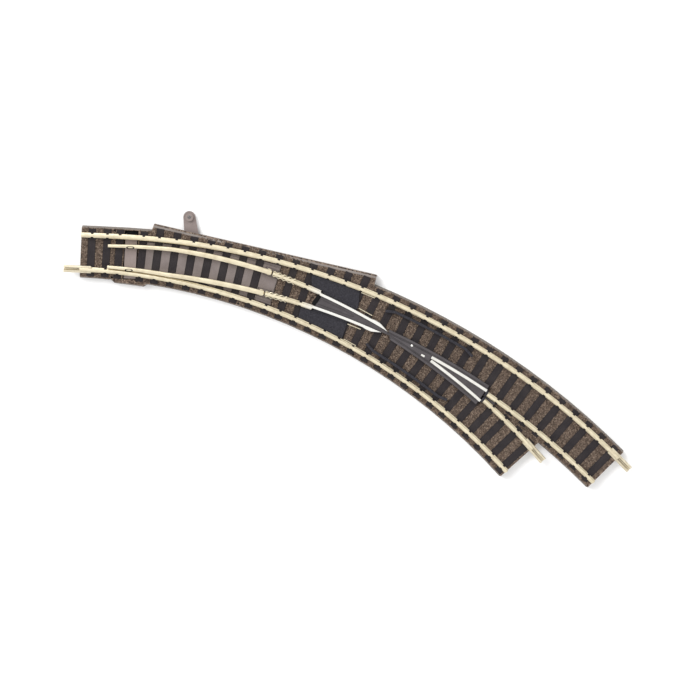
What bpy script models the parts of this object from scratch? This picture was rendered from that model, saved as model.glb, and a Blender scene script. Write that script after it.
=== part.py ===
"""Curved right-hand turnout for nine millimetre gauge model track, on a moulded ballast bed.

Seen from above, the track runs from the toe along +X and both legs bend right, towards -Y.
"""

import math

import bmesh
import bpy
from mathutils import Matrix, Vector

MM = 0.001

# Running geometry: the two legs share the toe, then bend on their own radii
GAUGE = 9.0 * MM
INNER_RADIUS = 192.0 * MM
INNER_ARC = math.radians(45.5)
OUTER_RADIUS = 225.6 * MM
OUTER_ARC = math.radians(42.5)
OUTER_LEAD = 11.1 * MM
STEP = 8.0 * MM

# Rail section
RAIL_HEIGHT = 2.0 * MM
HEAD_WIDTH = 1.5 * MM
WEB_WIDTH = 0.6 * MM
THIN_HEAD = 1.0 * MM
RAIL_OFFSET = (GAUGE + HEAD_WIDTH) / 2
NOSE_HEAD = 0.9 * MM
NOSE_OFFSET = 4.45 * MM

# Levels, counted up from the face that rests on the table
BED_TOP = 3.2 * MM
POCKET_TOP = 2.15 * MM
SLEEPER_TOP = 3.6 * MM
FIT = 0.05 * MM
RAIL_BASE = SLEEPER_TOP + FIT
RAIL_TOP = RAIL_BASE + RAIL_HEIGHT

# Ballast bed
BED_HALF = 8.0 * MM
SHOULDER = 0.5 * MM
WALL = 1.3 * MM
FLANGE_WALL = 1.0 * MM
FLANGE_START = 21.6 * MM
FLANGE_END = 88.6 * MM
FLANGE_START_OFFSET = 9.8 * MM
FLANGE_END_OFFSET = 10.9 * MM
BULGE = 0.9 * MM

# Sleepers
SLEEPER_WIDTH = 2.3 * MM
SLEEPER_HALF = 6.9 * MM
OUTER_PITCH = 5.28 * MM
INNER_PITCH = 5.06 * MM
BLADE_PITCH = 5.15 * MM
WEB_HALF = 0.5 * MM
SLIDE_HALF = 4.3 * MM
SLIDE_FLOOR = 2.75 * MM
SLIDE_END = 60.9 * MM
SHOE_START = 55.9 * MM
SHOE_END = 59.6 * MM
SHOE_WIDTH = 2.4 * MM
TOE_SLEEPERS = (3.3 * MM, 8.0 * MM, 11.85 * MM)
BLADE_SLEEPERS = [18.9 * MM] + [23.6 * MM + BLADE_PITCH * i for i in range(7)]
CLOSURE_COUNT = 7
OUTER_CLOSURE = 64.9 * MM
INNER_CLOSURE = 64.6 * MM

# Switch blades and their tie bar
TIE_X = 15.25 * MM
TIE_WIDTH = 3.6 * MM
TIE_Y = (-7.45 * MM, 5.6 * MM)
TROUGH_Y = (-7.75 * MM, 7.25 * MM)
THROW = 1.4 * MM
TOE = 8.4 * MM
HEEL = 57.0 * MM
HEEL_TAIL = 0.7 * MM
BLADE_TOE_WIDTH = 0.9 * MM
BLADE_FULL = 40.0 * MM
BLADE_GAP = 0.1 * MM
BLADE_TOP = RAIL_TOP - 0.1 * MM
PEG_RADIUS = 0.3 * MM
HEEL_PIN_RADIUS = 0.35 * MM
EYE_RADIUS = 1.0 * MM
RUNNING_FIT = 0.08 * MM

# Throw lever under the flange
LEVER_PIVOT = Vector((33.83, 4.9)) * MM
LEVER_REACH = 7.3 * MM
LEVER_REST = math.radians(99.7)
LEVER_SWING = math.radians(20.2)
CRANK = THROW / 2 / math.sin(LEVER_SWING)
CRANK_PIN = 0.45 * MM
LEVER_LOW = 0.85 * MM
LEVER_HIGH = 1.4 * MM
SLIDE_LOW = 1.5 * MM
SLIDE_HIGH = 2.1 * MM
COVER_LOW = 0.35 * MM
COVER_HIGH = 0.75 * MM
PIVOT_RADIUS = 0.6 * MM
LEVER_SLOT = 7.6 * MM

# Bay, cover, drive slide and detent under the blades
MECHANISM_BAY = (3.0 * MM, 58.0 * MM)
COVER_SCREWS = (
    Vector((6.0, -4.5)) * MM,
    Vector((6.0, 4.5)) * MM,
    Vector((52.0, 1.6)) * MM,
    Vector((50.5, -10.0)) * MM,
)
SCREW_RADIUS = 0.5 * MM
BOSS_RADIUS = 1.3 * MM
STUD = Vector((15.25, 4.0)) * MM
STUD_SIZE = 1.2 * MM
SLIDE_Y = (3.0 * MM, 5.0 * MM)
SLIDE_X = (13.4 * MM, 32.85 * MM)
DETENT_GAP = 2.4 * MM

# Crossing
CLOSURE_START = 58.3 * MM
THIN_START = 73.5 * MM
WING_START = 90.5 * MM
WING_END = 96.5 * MM
NOSE_START = 114.0 * MM
EXIT_START = 135.0 * MM
FROG_FLOOR = 4.85 * MM
FROG_TOP = RAIL_TOP - 0.3 * MM
FLANGEWAY = 1.0 * MM
THROAT = 98.4 * MM
WING_WALL = 0.65 * MM
WALL_OFFSET = 3.05 * MM

# Feed strips and infill panels
STRIP_WIDTH = 1.6 * MM
POST = 0.8 * MM
PANEL_SPAN = (70.3 * MM, 85.6 * MM)

# Rail joiners
JOINER_LENGTH = 8.4 * MM
JOINER_OUT = 5.0 * MM

COLLECTION = "curved_turnout"


class Route:
    """A centreline that runs straight for its lead, then bends right on one radius."""

    def __init__(self, lead, radius, arc):
        self.lead = lead
        self.radius = radius
        self.length = lead + radius * arc

    def bend(self, station):
        return max(0.0, (station - self.lead) / self.radius)

    def at(self, station, offset=0.0):
        """The point this far along the centreline and this far to its left."""
        if station <= self.lead:
            return Vector((station, offset))
        angle = self.bend(station)
        reach = self.radius + offset
        return Vector((self.lead + reach * math.sin(angle), reach * math.cos(angle) - self.radius))

    def along(self, start, end, offset=0.0, step=STEP):
        """Points along the route; offset is a length or a function of the station."""
        count = max(2, math.ceil(abs(end - start) / step) + 1)
        stations = [start + (end - start) * i / (count - 1) for i in range(count)]
        side = offset if callable(offset) else lambda station: offset
        return [self.at(station, side(station)) for station in stations]

    def locate(self, point):
        """The station and left offset of a point."""
        if point.x <= self.lead:
            return point.x, point.y
        across = Vector((point.x - self.lead, point.y + self.radius))
        return self.lead + self.radius * math.atan2(across.x, across.y), across.length - self.radius


inner = Route(0.0, INNER_RADIUS, INNER_ARC)
outer = Route(OUTER_LEAD, OUTER_RADIUS, OUTER_ARC)

NAIL_OFFSET = 7.0 * MM
NAIL_HOLES = [outer.at(station * MM, NAIL_OFFSET) for station in (10.2, 41.3, 69.2, 96.3)]
NAIL_HOLES += [inner.at(station * MM, -NAIL_OFFSET) for station in (10.2, 51.2, 91.1)]


def start_scene():
    for old in list(bpy.data.objects):
        bpy.data.objects.remove(old)
    parts = bpy.data.collections.new(COLLECTION)
    helpers = bpy.data.collections.new("cutters")
    for collection in (parts, helpers):
        bpy.context.scene.collection.children.link(collection)
    helpers.hide_render = True
    root = bpy.data.objects.new("turnout_origin", None)
    parts.objects.link(root)
    return parts, helpers, root


parts, helpers, root = start_scene()


def material(name, colour, roughness, metallic=0.0):
    made = bpy.data.materials.new(name)
    made.use_nodes = True
    shader = made.node_tree.nodes["Principled BSDF"]
    shader.inputs["Base Color"].default_value = (*colour, 1.0)
    shader.inputs["Roughness"].default_value = roughness
    shader.inputs["Metallic"].default_value = metallic
    return made


rail_metal = material("rail_metal", (0.82, 0.76, 0.60), 0.28, 1.0)
frog_metal = material("frog_metal", (0.88, 0.86, 0.80), 0.25, 1.0)
joiner_metal = material("joiner_metal", (0.74, 0.68, 0.52), 0.35, 1.0)
spring_steel = material("spring_steel", (0.55, 0.55, 0.56), 0.35, 1.0)
ballast_plastic = material("ballast_plastic", (0.16, 0.12, 0.09), 0.9)
sleeper_plastic = material("sleeper_plastic", (0.03, 0.025, 0.025), 0.7)
slide_plastic = material("slide_plastic", (0.23, 0.20, 0.18), 0.6)
lever_plastic = material("lever_plastic", (0.26, 0.22, 0.20), 0.55)
frog_plastic = material("frog_plastic", (0.09, 0.08, 0.085), 0.5)
panel_plastic = material("panel_plastic", (0.035, 0.035, 0.04), 0.6)
cover_plastic = material("cover_plastic", (0.05, 0.045, 0.045), 0.6)


def keep(name, mesh, finish=None, origin=(0.0, 0.0), helper=False):
    """Puts a mesh into the model under this name, with its origin over the given point."""
    bm = bmesh.new()
    bm.from_mesh(mesh)
    bmesh.ops.remove_doubles(bm, verts=bm.verts, dist=1e-7)
    bmesh.ops.recalc_face_normals(bm, faces=bm.faces)
    bmesh.ops.translate(bm, verts=bm.verts, vec=(-origin[0], -origin[1], 0.0))
    bm.to_mesh(mesh)
    bm.free()
    mesh.name = name
    obj = bpy.data.objects.new(name, mesh)
    obj.location = (origin[0], origin[1], 0.0)
    (helpers if helper else parts).objects.link(obj)
    obj.parent = root
    if helper:
        obj.hide_render = True
        obj.display_type = "WIRE"
    else:
        mesh.materials.append(finish)
    return obj


def curve_mesh(curve):
    """The mesh that a curve makes; the curve itself is removed."""
    holder = bpy.data.objects.new("outline", curve)
    helpers.objects.link(holder)
    bpy.context.view_layer.update()
    graph = bpy.context.evaluated_depsgraph_get()
    mesh = bpy.data.meshes.new_from_object(holder.evaluated_get(graph))
    bpy.data.objects.remove(holder)
    return mesh


def poly_spline(curve, points, closed):
    spline = curve.splines.new("POLY")
    spline.points.add(len(points) - 1)
    for control, point in zip(spline.points, points):
        height = point[2] if len(point) > 2 else 0.0
        control.co = (point[0], point[1], height, 1.0)
    spline.use_cyclic_u = closed


def plate(name, outline, low, high, finish=None, origin=(0.0, 0.0), holes=(), helper=False):
    """A flat outline, with any holes, as thick as the two levels are apart."""
    curve = bpy.data.curves.new(name, "CURVE")
    curve.dimensions = "2D"
    curve.fill_mode = "BOTH"
    for loop in (outline, *holes):
        poly_spline(curve, loop, True)
    curve.extrude = (high - low) / 2
    mesh = curve_mesh(curve)
    mesh.transform(Matrix.Translation((0.0, 0.0, (low + high) / 2)))
    return keep(name, mesh, finish, origin, helper)


def sweep(name, path, section, finish=None, helper=False):
    """A closed section, drawn as (sideways, up), carried along a path seen from above."""
    profile = bpy.data.curves.new("section", "CURVE")
    profile.dimensions = "2D"
    poly_spline(profile, section, True)
    profile_holder = bpy.data.objects.new("section", profile)
    helpers.objects.link(profile_holder)
    curve = bpy.data.curves.new(name, "CURVE")
    curve.dimensions = "3D"
    curve.twist_mode = "Z_UP"
    curve.bevel_mode = "OBJECT"
    curve.bevel_object = profile_holder
    curve.use_fill_caps = True
    poly_spline(curve, path, False)
    mesh = curve_mesh(curve)
    bpy.data.objects.remove(profile_holder)
    return keep(name, mesh, finish, helper=helper)


def loft(name, bottom, top, low, high, finish):
    """Joins two outlines of as many points, one above the other, with sloping sides."""
    bm = bmesh.new()
    lower = [bm.verts.new((p[0], p[1], low)) for p in bottom]
    upper = [bm.verts.new((p[0], p[1], high)) for p in top]
    bm.faces.new(lower)
    bm.faces.new(upper)
    for i in range(len(lower)):
        j = (i + 1) % len(lower)
        bm.faces.new((lower[i], lower[j], upper[j], upper[i]))
    mesh = bpy.data.meshes.new(name)
    bm.to_mesh(mesh)
    bm.free()
    return keep(name, mesh, finish)


def arc(centre, radius, start, turn, count=12):
    """Points round part of a circle."""
    angles = [start + turn * i / (count - 1) for i in range(count)]
    return [centre + Vector((math.cos(angle), math.sin(angle))) * radius for angle in angles]


def rod(name, centre, radius, low, high, finish=None, sides=16, helper=False):
    bm = bmesh.new()
    place = Matrix.Translation((centre[0], centre[1], (low + high) / 2))
    bmesh.ops.create_cone(
        bm, cap_ends=True, segments=sides, radius1=radius, radius2=radius, depth=high - low, matrix=place
    )
    mesh = bpy.data.meshes.new(name)
    bm.to_mesh(mesh)
    bm.free()
    made = keep(name, mesh, finish, helper=helper)
    made.data.shade_smooth()
    made.data.set_sharp_from_angle(angle=math.radians(40))
    return made


def block(name, centre, size, low, high, turn=0.0, finish=None, helper=False):
    bm = bmesh.new()
    spin = Matrix.Rotation(turn, 4, "Z")
    place = Matrix.Translation((centre[0], centre[1], (low + high) / 2))
    scale = Matrix.Diagonal((size[0], size[1], high - low, 1.0))
    bmesh.ops.create_cube(bm, size=1.0, matrix=place @ spin @ scale)
    mesh = bpy.data.meshes.new(name)
    bm.to_mesh(mesh)
    bm.free()
    return keep(name, mesh, finish, helper=helper)


def combine(target, tools, operation):
    for tool in tools:
        change = target.modifiers.new(tool.name, "BOOLEAN")
        change.operation = operation
        change.solver = "EXACT"
        change.object = tool


def rail_section(head=HEAD_WIDTH, side=0.0):
    """An I-shaped rail: a foot, a thin web and a head with small chamfers."""
    half = head / 2
    web = WEB_WIDTH / 2
    chamfer = 0.12 * MM
    right = [
        (half, 0.0),
        (half, 0.3 * MM),
        (web, 0.45 * MM),
        (web, 1.35 * MM),
        (half, 1.5 * MM),
        (half, RAIL_HEIGHT - chamfer),
        (half - chamfer, RAIL_HEIGHT),
    ]
    left = [(-x, y) for x, y in reversed(right)]
    return [(x + side, y + RAIL_BASE) for x, y in right + left]


def bar_section(width, low, high):
    half = width / 2
    return [(half, low), (half, high), (-half, high), (-half, low)]


# ---- Ballast bed ----

def flange_edge(inset=0.0):
    start = outer.at(FLANGE_START, FLANGE_START_OFFSET - inset)
    end = outer.at(FLANGE_END, FLANGE_END_OFFSET - inset)
    return start, end


FLANGE_DIRECTION = (flange_edge()[1] - flange_edge()[0]).normalized()
FLANGE_NORMAL = Vector((-FLANGE_DIRECTION.y, FLANGE_DIRECTION.x))


def crotch(side):
    """The station where the outer leg's right edge meets the line of the inner leg's end."""
    low, high = 120.0 * MM, outer.length
    for _ in range(40):
        middle = (low + high) / 2
        if inner.locate(outer.at(middle, -side))[0] < inner.length:
            low = middle
        else:
            high = middle
    return low


def bed_outline(inset):
    """The bed from above: toe, flange, outer end, crotch, inner end and back to the toe."""
    side = BED_HALF - inset
    flange_start, flange_end = flange_edge()
    bulge_side = BED_HALF + BULGE - inset
    points = outer.along(0.0, FLANGE_START - 0.6 * MM, side)
    points += [flange_start, flange_end]
    points += outer.along(FLANGE_END + 0.4 * MM, outer.length, side)
    crotch_station = crotch(BED_HALF)
    points += outer.along(outer.length, crotch_station, -side)
    points += inner.along(inner.length, 21.5 * MM, -side)
    points += inner.along(20.5 * MM, 11.0 * MM, -bulge_side)
    points += inner.along(10.0 * MM, 0.0, -side)
    return points


def bay_outline(start, end, flange=False):
    """A pocket under the bed between two stations, as wide as both legs together."""
    side = BED_HALF - WALL
    left = []
    if flange:
        flange_start, flange_end = flange_edge(FLANGE_WALL)
        left += outer.along(start, FLANGE_START, side)
        left += [flange_start + FLANGE_DIRECTION * FLANGE_WALL]
        left += [flange_start.lerp(flange_end, (end - FLANGE_START) / (FLANGE_END - FLANGE_START))]
    else:
        left += outer.along(start, end, side)
    return left + inner.along(end, start, -side)


def leg_bay(route, start, end):
    side = BED_HALF - WALL
    return route.along(start, end, side) + route.along(end, start, -side)


def make_bed():
    bed = loft("ballast_bed", bed_outline(0.0), bed_outline(SHOULDER), 0.0, BED_TOP, ballast_plastic)
    below = -1.0 * MM
    bays = [
        plate("mechanism_bay", bay_outline(*MECHANISM_BAY, flange=True), below, POCKET_TOP, helper=True),
        plate("crossing_bay", bay_outline(60.0 * MM, 139.0 * MM), below, POCKET_TOP, helper=True),
        plate("outer_leg_bay", leg_bay(outer, 158.0 * MM, 176.0 * MM), below, POCKET_TOP, helper=True),
    ]
    combine(bed, bays, "DIFFERENCE")
    bosses = [
        rod(f"cover_boss_{i + 1}", centre, BOSS_RADIUS, COVER_HIGH + FIT, POCKET_TOP + 0.5 * MM, helper=True)
        for i, centre in enumerate(COVER_SCREWS)
    ]
    combine(bed, bosses, "UNION")
    cuts = [
        rod(f"screw_hole_{i + 1}", centre, SCREW_RADIUS + FIT, -0.2 * MM, 2.45 * MM, helper=True)
        for i, centre in enumerate(COVER_SCREWS)
    ]
    cuts.append(rod("pivot_hole", LEVER_PIVOT, PIVOT_RADIUS + FIT, 1.0 * MM, 2.9 * MM, helper=True))
    trough_size = (TIE_WIDTH + 0.7 * MM, TROUGH_Y[1] - TROUGH_Y[0])
    trough_centre = (TIE_X, (TROUGH_Y[0] + TROUGH_Y[1]) / 2)
    cuts.append(block("tie_trough", trough_centre, trough_size, 1.9 * MM, 5.0 * MM, helper=True))
    recess_start = BLADE_SLEEPERS[0] - SLEEPER_WIDTH / 2 - 0.1 * MM
    recess_end = SLIDE_END + 0.2 * MM
    slide_area = outer.along(recess_start, recess_end, SLIDE_HALF)
    slide_area += inner.along(recess_end, recess_start, -SLIDE_HALF)
    cuts.append(plate("slide_recess", slide_area, SLIDE_FLOOR, 5.0 * MM, helper=True))
    slot_centre = LEVER_PIVOT + FLANGE_NORMAL * 1.6 * MM
    slot_turn = math.atan2(FLANGE_DIRECTION.y, FLANGE_DIRECTION.x)
    cuts.append(
        block("lever_slot", slot_centre, (LEVER_SLOT, 4.4 * MM), -0.2 * MM, 1.55 * MM, slot_turn, helper=True)
    )
    for name, point in strip_posts():
        cuts.append(block(f"{name}_hole", point, (1.0 * MM, 1.0 * MM), 1.9 * MM, 4.0 * MM, helper=True))
    for i, point in enumerate(NAIL_HOLES):
        cuts.append(rod(f"nail_hole_{i + 1}", point, 0.35 * MM, -0.2 * MM, 5.0 * MM, sides=8, helper=True))
    combine(bed, cuts, "DIFFERENCE")
    return bed


# ---- Metal feed strips under the crossing ----

LEFT_STRIP = (inner.at(68.5 * MM, RAIL_OFFSET), inner.at(134.5 * MM, RAIL_OFFSET))
RIGHT_STRIP = (outer.at(68.5 * MM, -RAIL_OFFSET), outer.at(137.0 * MM, -RAIL_OFFSET))


def strip_posts():
    names = ("left_feed_front", "left_feed_back", "right_feed_front", "right_feed_back")
    return list(zip(names, (*LEFT_STRIP, *RIGHT_STRIP)))


def make_feed_strips():
    levels = {"left": (1.7 * MM, 1.9 * MM), "right": (1.3 * MM, 1.5 * MM)}
    for side, route, ends in (("left", inner, LEFT_STRIP), ("right", outer, RIGHT_STRIP)):
        low, high = levels[side]
        start = route.locate(ends[0])
        end = route.locate(ends[1])
        path = route.along(start[0] - POST, end[0] + POST, start[1])
        strip = sweep(f"{side}_feed_strip", path, bar_section(STRIP_WIDTH, low, high), joiner_metal)
        posts = [
            block(f"{name}_post", point, (POST, POST), low + FIT, RAIL_BASE - FIT, helper=True)
            for name, point in strip_posts()
            if name.startswith(side)
        ]
        combine(strip, posts, "UNION")


# ---- Sleepers ----

def sleeper_edges(left, right):
    """A sleeper's front and back edges, each with its ends and the four places where webs cross it."""
    across = (right - left).normalized()
    forward = Vector((-across.y, across.x)) * SLEEPER_WIDTH / 2
    end = SLEEPER_HALF - RAIL_OFFSET
    length = (right - left).length
    steps = (0.0, end - WEB_HALF, end + WEB_HALF, length - end - WEB_HALF, length - end + WEB_HALF, length)
    middle = [left + across * step for step in steps]
    return [point - forward for point in middle], [point + forward for point in middle]


def sleeper_frame(name, sleepers, cuts, left_web=True, right_web=True, joined=()):
    """Sleepers joined into one frame by a strip under each rail, and by any further strips."""
    edges = [sleeper_edges(left, right) for left, right in sleepers]
    left_root = 1 if left_web else 3
    right_root = 4 if right_web else 2
    left_side = []
    right_side = []
    for front, back in edges:
        left_side += [front[left_root], front[0], back[0], back[left_root]]
        right_side += [front[right_root], front[5], back[5], back[right_root]]
    outline = left_side[1:-1] + right_side[1:-1][::-1]
    holes = []
    if left_web and right_web:
        for (_, back), (front, _) in zip(edges, edges[1:]):
            holes.append([back[2], front[2], front[3], back[3]])
    low = BED_TOP + FIT
    frame = plate(name, outline, low, SLEEPER_TOP, sleeper_plastic, holes=holes)
    combine(frame, list(joined), "UNION")
    combine(frame, cuts, "DIFFERENCE")


def midline_offset(route, station, toward):
    """How far from the route's centreline the line midway between the two legs runs."""
    other = inner if route is outer else outer
    own = route.at(station, toward * RAIL_OFFSET)
    across = other.locate(own)[0]
    far = other.at(across, -toward * RAIL_OFFSET)
    return route.locate((own + far) / 2)[1]


def leg_stations(route):
    """Stations of one leg's own sleepers, which go on from the shared ones up to the leg's end."""
    first, pitch = (OUTER_CLOSURE, OUTER_PITCH) if route is outer else (INNER_CLOSURE, INNER_PITCH)
    first += pitch * CLOSURE_COUNT
    count = int((route.length - 1.6 * MM - first) / pitch) + 1
    return [first + pitch * i for i in range(count)]


def leg_sleepers(route, toward):
    """Both ends of each of one leg's own sleepers; they stop at the line between the legs."""
    made = []
    for station in leg_stations(route):
        reach = abs(midline_offset(route, station, toward)) - 0.25 * MM
        far = route.at(station, toward * min(reach, SLEEPER_HALF))
        near = route.at(station, -toward * SLEEPER_HALF)
        made.append((near, far) if toward < 0 else (far, near))
    return made


def joiner_notch(name, route, station, offset):
    """Room for a joiner in the last sleeper, open towards the sleeper's end."""
    outward = 1.0 * MM if offset > 0 else -1.0 * MM
    size = (JOINER_LENGTH + 0.6 * MM, 2.6 * MM + 2 * abs(outward))
    centre = route.at(station, offset + outward)
    return block(name, centre, size, 3.0 * MM, 5.0 * MM, -route.bend(station), helper=True)


def post_gaps(label, *points):
    size = (1.0 * MM, 1.0 * MM)
    return [
        block(f"{label}_post_gap_{i + 1}", point, size, 3.0 * MM, 5.0 * MM, helper=True)
        for i, point in enumerate(points)
    ]


def make_sleepers():
    def common(stations):
        return [(outer.at(s, SLEEPER_HALF), inner.at(s, -SLEEPER_HALF)) for s in stations]

    closure = [
        (
            outer.at(OUTER_CLOSURE + OUTER_PITCH * i, SLEEPER_HALF),
            inner.at(INNER_CLOSURE + INNER_PITCH * i, -SLEEPER_HALF),
        )
        for i in range(CLOSURE_COUNT)
    ]
    toe_notch = joiner_notch("toe_joiner_notch", inner, 0.0, -RAIL_OFFSET)
    sleeper_frame("toe_sleepers", common(TOE_SLEEPERS), [toe_notch])
    front_posts = post_gaps("switch", LEFT_STRIP[0], RIGHT_STRIP[0])
    sleeper_frame("switch_sleepers", common(BLADE_SLEEPERS) + closure, front_posts)
    outer_cuts = [joiner_notch("outer_joiner_notch", outer, outer.length, RAIL_OFFSET)]
    outer_cuts += post_gaps("outer", RIGHT_STRIP[1])
    end_path = outer.along(*leg_stations(outer)[-2:], -RAIL_OFFSET)
    end_section = bar_section(2 * WEB_HALF, BED_TOP + 2 * FIT, SLEEPER_TOP - FIT)
    end_web = sweep("outer_end_web", end_path, end_section, helper=True)
    outer_leg = leg_sleepers(outer, -1)
    sleeper_frame("outer_leg_sleepers", outer_leg, outer_cuts, right_web=False, joined=[end_web])
    inner_cuts = [joiner_notch("inner_joiner_notch", inner, inner.length, RAIL_OFFSET)]
    inner_cuts += post_gaps("inner", LEFT_STRIP[1])
    sleeper_frame("inner_leg_sleepers", leg_sleepers(inner, 1), inner_cuts, left_web=False)


def make_slide_plate():
    """Smooth bars between the sleepers, on which the blades slide, with room for the two heel shoes."""
    reach = SLIDE_HALF - 0.15 * MM
    start = BLADE_SLEEPERS[0] - SLEEPER_WIDTH / 2
    outline = outer.along(start, SLIDE_END, reach) + inner.along(SLIDE_END, start, -reach)
    base = plate("blade_slide_plate", outline, SLIDE_FLOOR + FIT, BED_TOP, slide_plastic)
    stations = BLADE_SLEEPERS + [SLIDE_END + SLEEPER_WIDTH / 2]
    edges = [sleeper_edges(outer.at(s, SLEEPER_HALF), inner.at(s, -SLEEPER_HALF)) for s in stations]
    share = (SLEEPER_HALF - reach) / (2 * SLEEPER_HALF)
    bars = []
    for i, ((_, back), (following, _)) in enumerate(zip(edges, edges[1:])):
        near = [back[0].lerp(back[-1], share), back[0].lerp(back[-1], 1 - share)]
        far = [following[0].lerp(following[-1], share), following[0].lerp(following[-1], 1 - share)]
        gap = (far[0] - near[0]).normalized() * 2 * FIT
        corners = [near[0] + gap, far[0] - gap, far[1] - gap, near[1] + gap]
        bars.append(plate(f"slide_bar_{i + 1}", corners, BED_TOP - FIT, SLEEPER_TOP - FIT, helper=True))
    combine(base, bars, "UNION")
    rooms = []
    for name, route, side in (("outer", inner, 1), ("inner", outer, -1)):
        path = route.along(SHOE_START - 0.2 * MM, SLIDE_END + 1.0 * MM, side * RAIL_OFFSET, 2.5 * MM)
        section = bar_section(SHOE_WIDTH + 0.2 * MM, BED_TOP, SLEEPER_TOP + 0.5 * MM)
        rooms.append(sweep(f"{name}_shoe_room", path, section, helper=True))
    combine(base, rooms, "DIFFERENCE")


# ---- Rails ----

def make_stock_rails():
    section = rail_section()
    sweep("outer_stock_rail", outer.along(0.0, outer.length, RAIL_OFFSET), section, rail_metal)
    sweep("inner_stock_rail", inner.along(0.0, inner.length, -RAIL_OFFSET), section, rail_metal)


def spread(station):
    """How far the two legs' centrelines have parted at a station."""
    outside = max(0.0, station - OUTER_LEAD)
    return station**2 / (2 * INNER_RADIUS) - outside**2 / (2 * OUTER_RADIUS)


def blade_faces(station):
    """Offsets of a closed blade's back and running faces from its leg's centreline."""
    share = min(1.0, (station - TOE) / (BLADE_FULL - TOE))
    width = BLADE_TOE_WIDTH + (HEAD_WIDTH - BLADE_TOE_WIDTH) * share
    back = min(GAUGE / 2 + width, GAUGE / 2 + spread(station) - BLADE_GAP)
    return back, back - width


def heel_pivot(route, side):
    return route.at(HEEL, side * RAIL_OFFSET)


def peg_centre(route, side):
    back, run = blade_faces(TIE_X)
    return route.at(TIE_X, side * (back + run) / 2)


def turned(points, pivot, angle):
    spin = Matrix.Rotation(angle, 2)
    return [pivot + spin @ (point - pivot) for point in points]


def make_blades():
    """The outer blade stands open and the inner one closed, as the tie bar is thrown towards -Y."""
    for name, route, side in (("outer_blade", inner, 1), ("inner_blade", outer, -1)):
        pivot = heel_pivot(route, side)
        swing = THROW / (pivot.x - TIE_X) if side > 0 else 0.0
        end = HEEL + HEEL_TAIL
        backs = route.along(TOE, end, lambda s: side * blade_faces(s)[0], 3.5 * MM)
        runs = route.along(end, TOE, lambda s: side * blade_faces(s)[1], 3.5 * MM)
        outline = turned(backs + runs, pivot, swing)
        blade = plate(name, outline, RAIL_BASE, BLADE_TOP, rail_metal, origin=pivot)
        peg = turned([peg_centre(route, side)], pivot, swing)[0]
        extras = [
            rod(f"{name}_peg", peg, PEG_RADIUS, 2.5 * MM, RAIL_BASE + 0.3 * MM, helper=True),
            rod(f"{name}_eye", pivot, EYE_RADIUS, RAIL_BASE, RAIL_BASE + 0.45 * MM, helper=True),
        ]
        combine(blade, extras, "UNION")
        hole = rod(f"{name}_eye_hole", pivot, HEEL_PIN_RADIUS + RUNNING_FIT, 3.0 * MM, 4.3 * MM, helper=True)
        combine(blade, [hole], "DIFFERENCE")


def make_heel_joints():
    """A bearing shoe under each blade's heel and the closure rail's end, with the pin the blade turns on."""
    for name, route, side in (("outer", inner, 1), ("inner", outer, -1)):
        offset = side * RAIL_OFFSET
        path = route.along(SHOE_START, SHOE_END, offset, 2.5 * MM)
        section = bar_section(SHOE_WIDTH, BED_TOP + FIT, SLEEPER_TOP)
        shoe = sweep(f"{name}_heel_shoe", path, section, slide_plastic)
        pivot = heel_pivot(route, side)
        hole = rod(f"{name}_shoe_hole", pivot, HEEL_PIN_RADIUS + FIT, 3.0 * MM, 4.0 * MM, helper=True)
        combine(shoe, [hole], "DIFFERENCE")
        rod(f"{name}_heel_pin", pivot, HEEL_PIN_RADIUS, BED_TOP + FIT, 4.2 * MM, joiner_metal)


def make_closure_rails():
    """Full rails behind the heels, thin beside the crossing, and full again at their wing ends."""
    for name, route, side in (("outer", inner, 1), ("inner", outer, -1)):
        offset = side * RAIL_OFFSET
        rail = sweep(
            f"{name}_closure_rail",
            route.along(CLOSURE_START, WING_END, offset, 5.0 * MM),
            rail_section(),
            rail_metal,
        )
        trim = (HEAD_WIDTH - THIN_HEAD + 1.0 * MM) / 2
        trim_offset = side * (GAUGE / 2 + THIN_HEAD + trim)
        path = route.along(THIN_START, WING_START, trim_offset, 5.0 * MM)
        shave = sweep(f"{name}_shave", path, bar_section(2 * trim, 3.0 * MM, 6.5 * MM), helper=True)
        tip = route.at(WING_END, side * (GAUGE / 2 + HEAD_WIDTH + 0.35 * MM))
        angle = -route.bend(WING_END) - side * math.radians(24)
        point = block(f"{name}_wing_point", tip, (5.0 * MM, 1.4 * MM), 3.0 * MM, 6.5 * MM, angle, helper=True)
        combine(rail, [shave, point], "DIFFERENCE")


def make_exit_rails():
    """The crossing-side rail of each leg, the thin nose rail before it and the insulator between them."""
    for name, route, side in (("inner", inner, 1), ("outer", outer, -1)):
        start = exit_station(route)
        path = route.along(start, route.length, side * RAIL_OFFSET)
        sweep(f"{name}_exit_rail", path, rail_section(), rail_metal)
        nose_path = route.along(nose_station(route), start - 0.8 * MM, side * NOSE_OFFSET, 5.0 * MM)
        section = bar_section(NOSE_HEAD, FROG_FLOOR + FIT, RAIL_TOP)
        sweep(f"{name}_nose_rail", nose_path, section, frog_metal)
        gap_path = route.along(start - 0.8 * MM + FIT, start - FIT, side * RAIL_OFFSET, 5.0 * MM)
        section = bar_section(1.9 * MM, RAIL_BASE, RAIL_TOP - 0.25 * MM)
        sweep(f"{name}_insulator", gap_path, section, panel_plastic)


def exit_station(route):
    return EXIT_START if route is outer else EXIT_START - 3.0 * MM


def nose_station(route):
    return NOSE_START if route is outer else NOSE_START - 1.8 * MM


# ---- Crossing ----

def crossing_point(outer_offset, inner_offset):
    """Where a line beside the outer leg meets a line beside the inner leg."""
    low, high = 60.0 * MM, 175.0 * MM
    for _ in range(60):
        middle = (low + high) / 2
        if inner.locate(outer.at(middle, outer_offset))[1] > inner_offset:
            high = middle
        else:
            low = middle
    return low, inner.locate(outer.at(low, outer_offset))[0]


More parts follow.
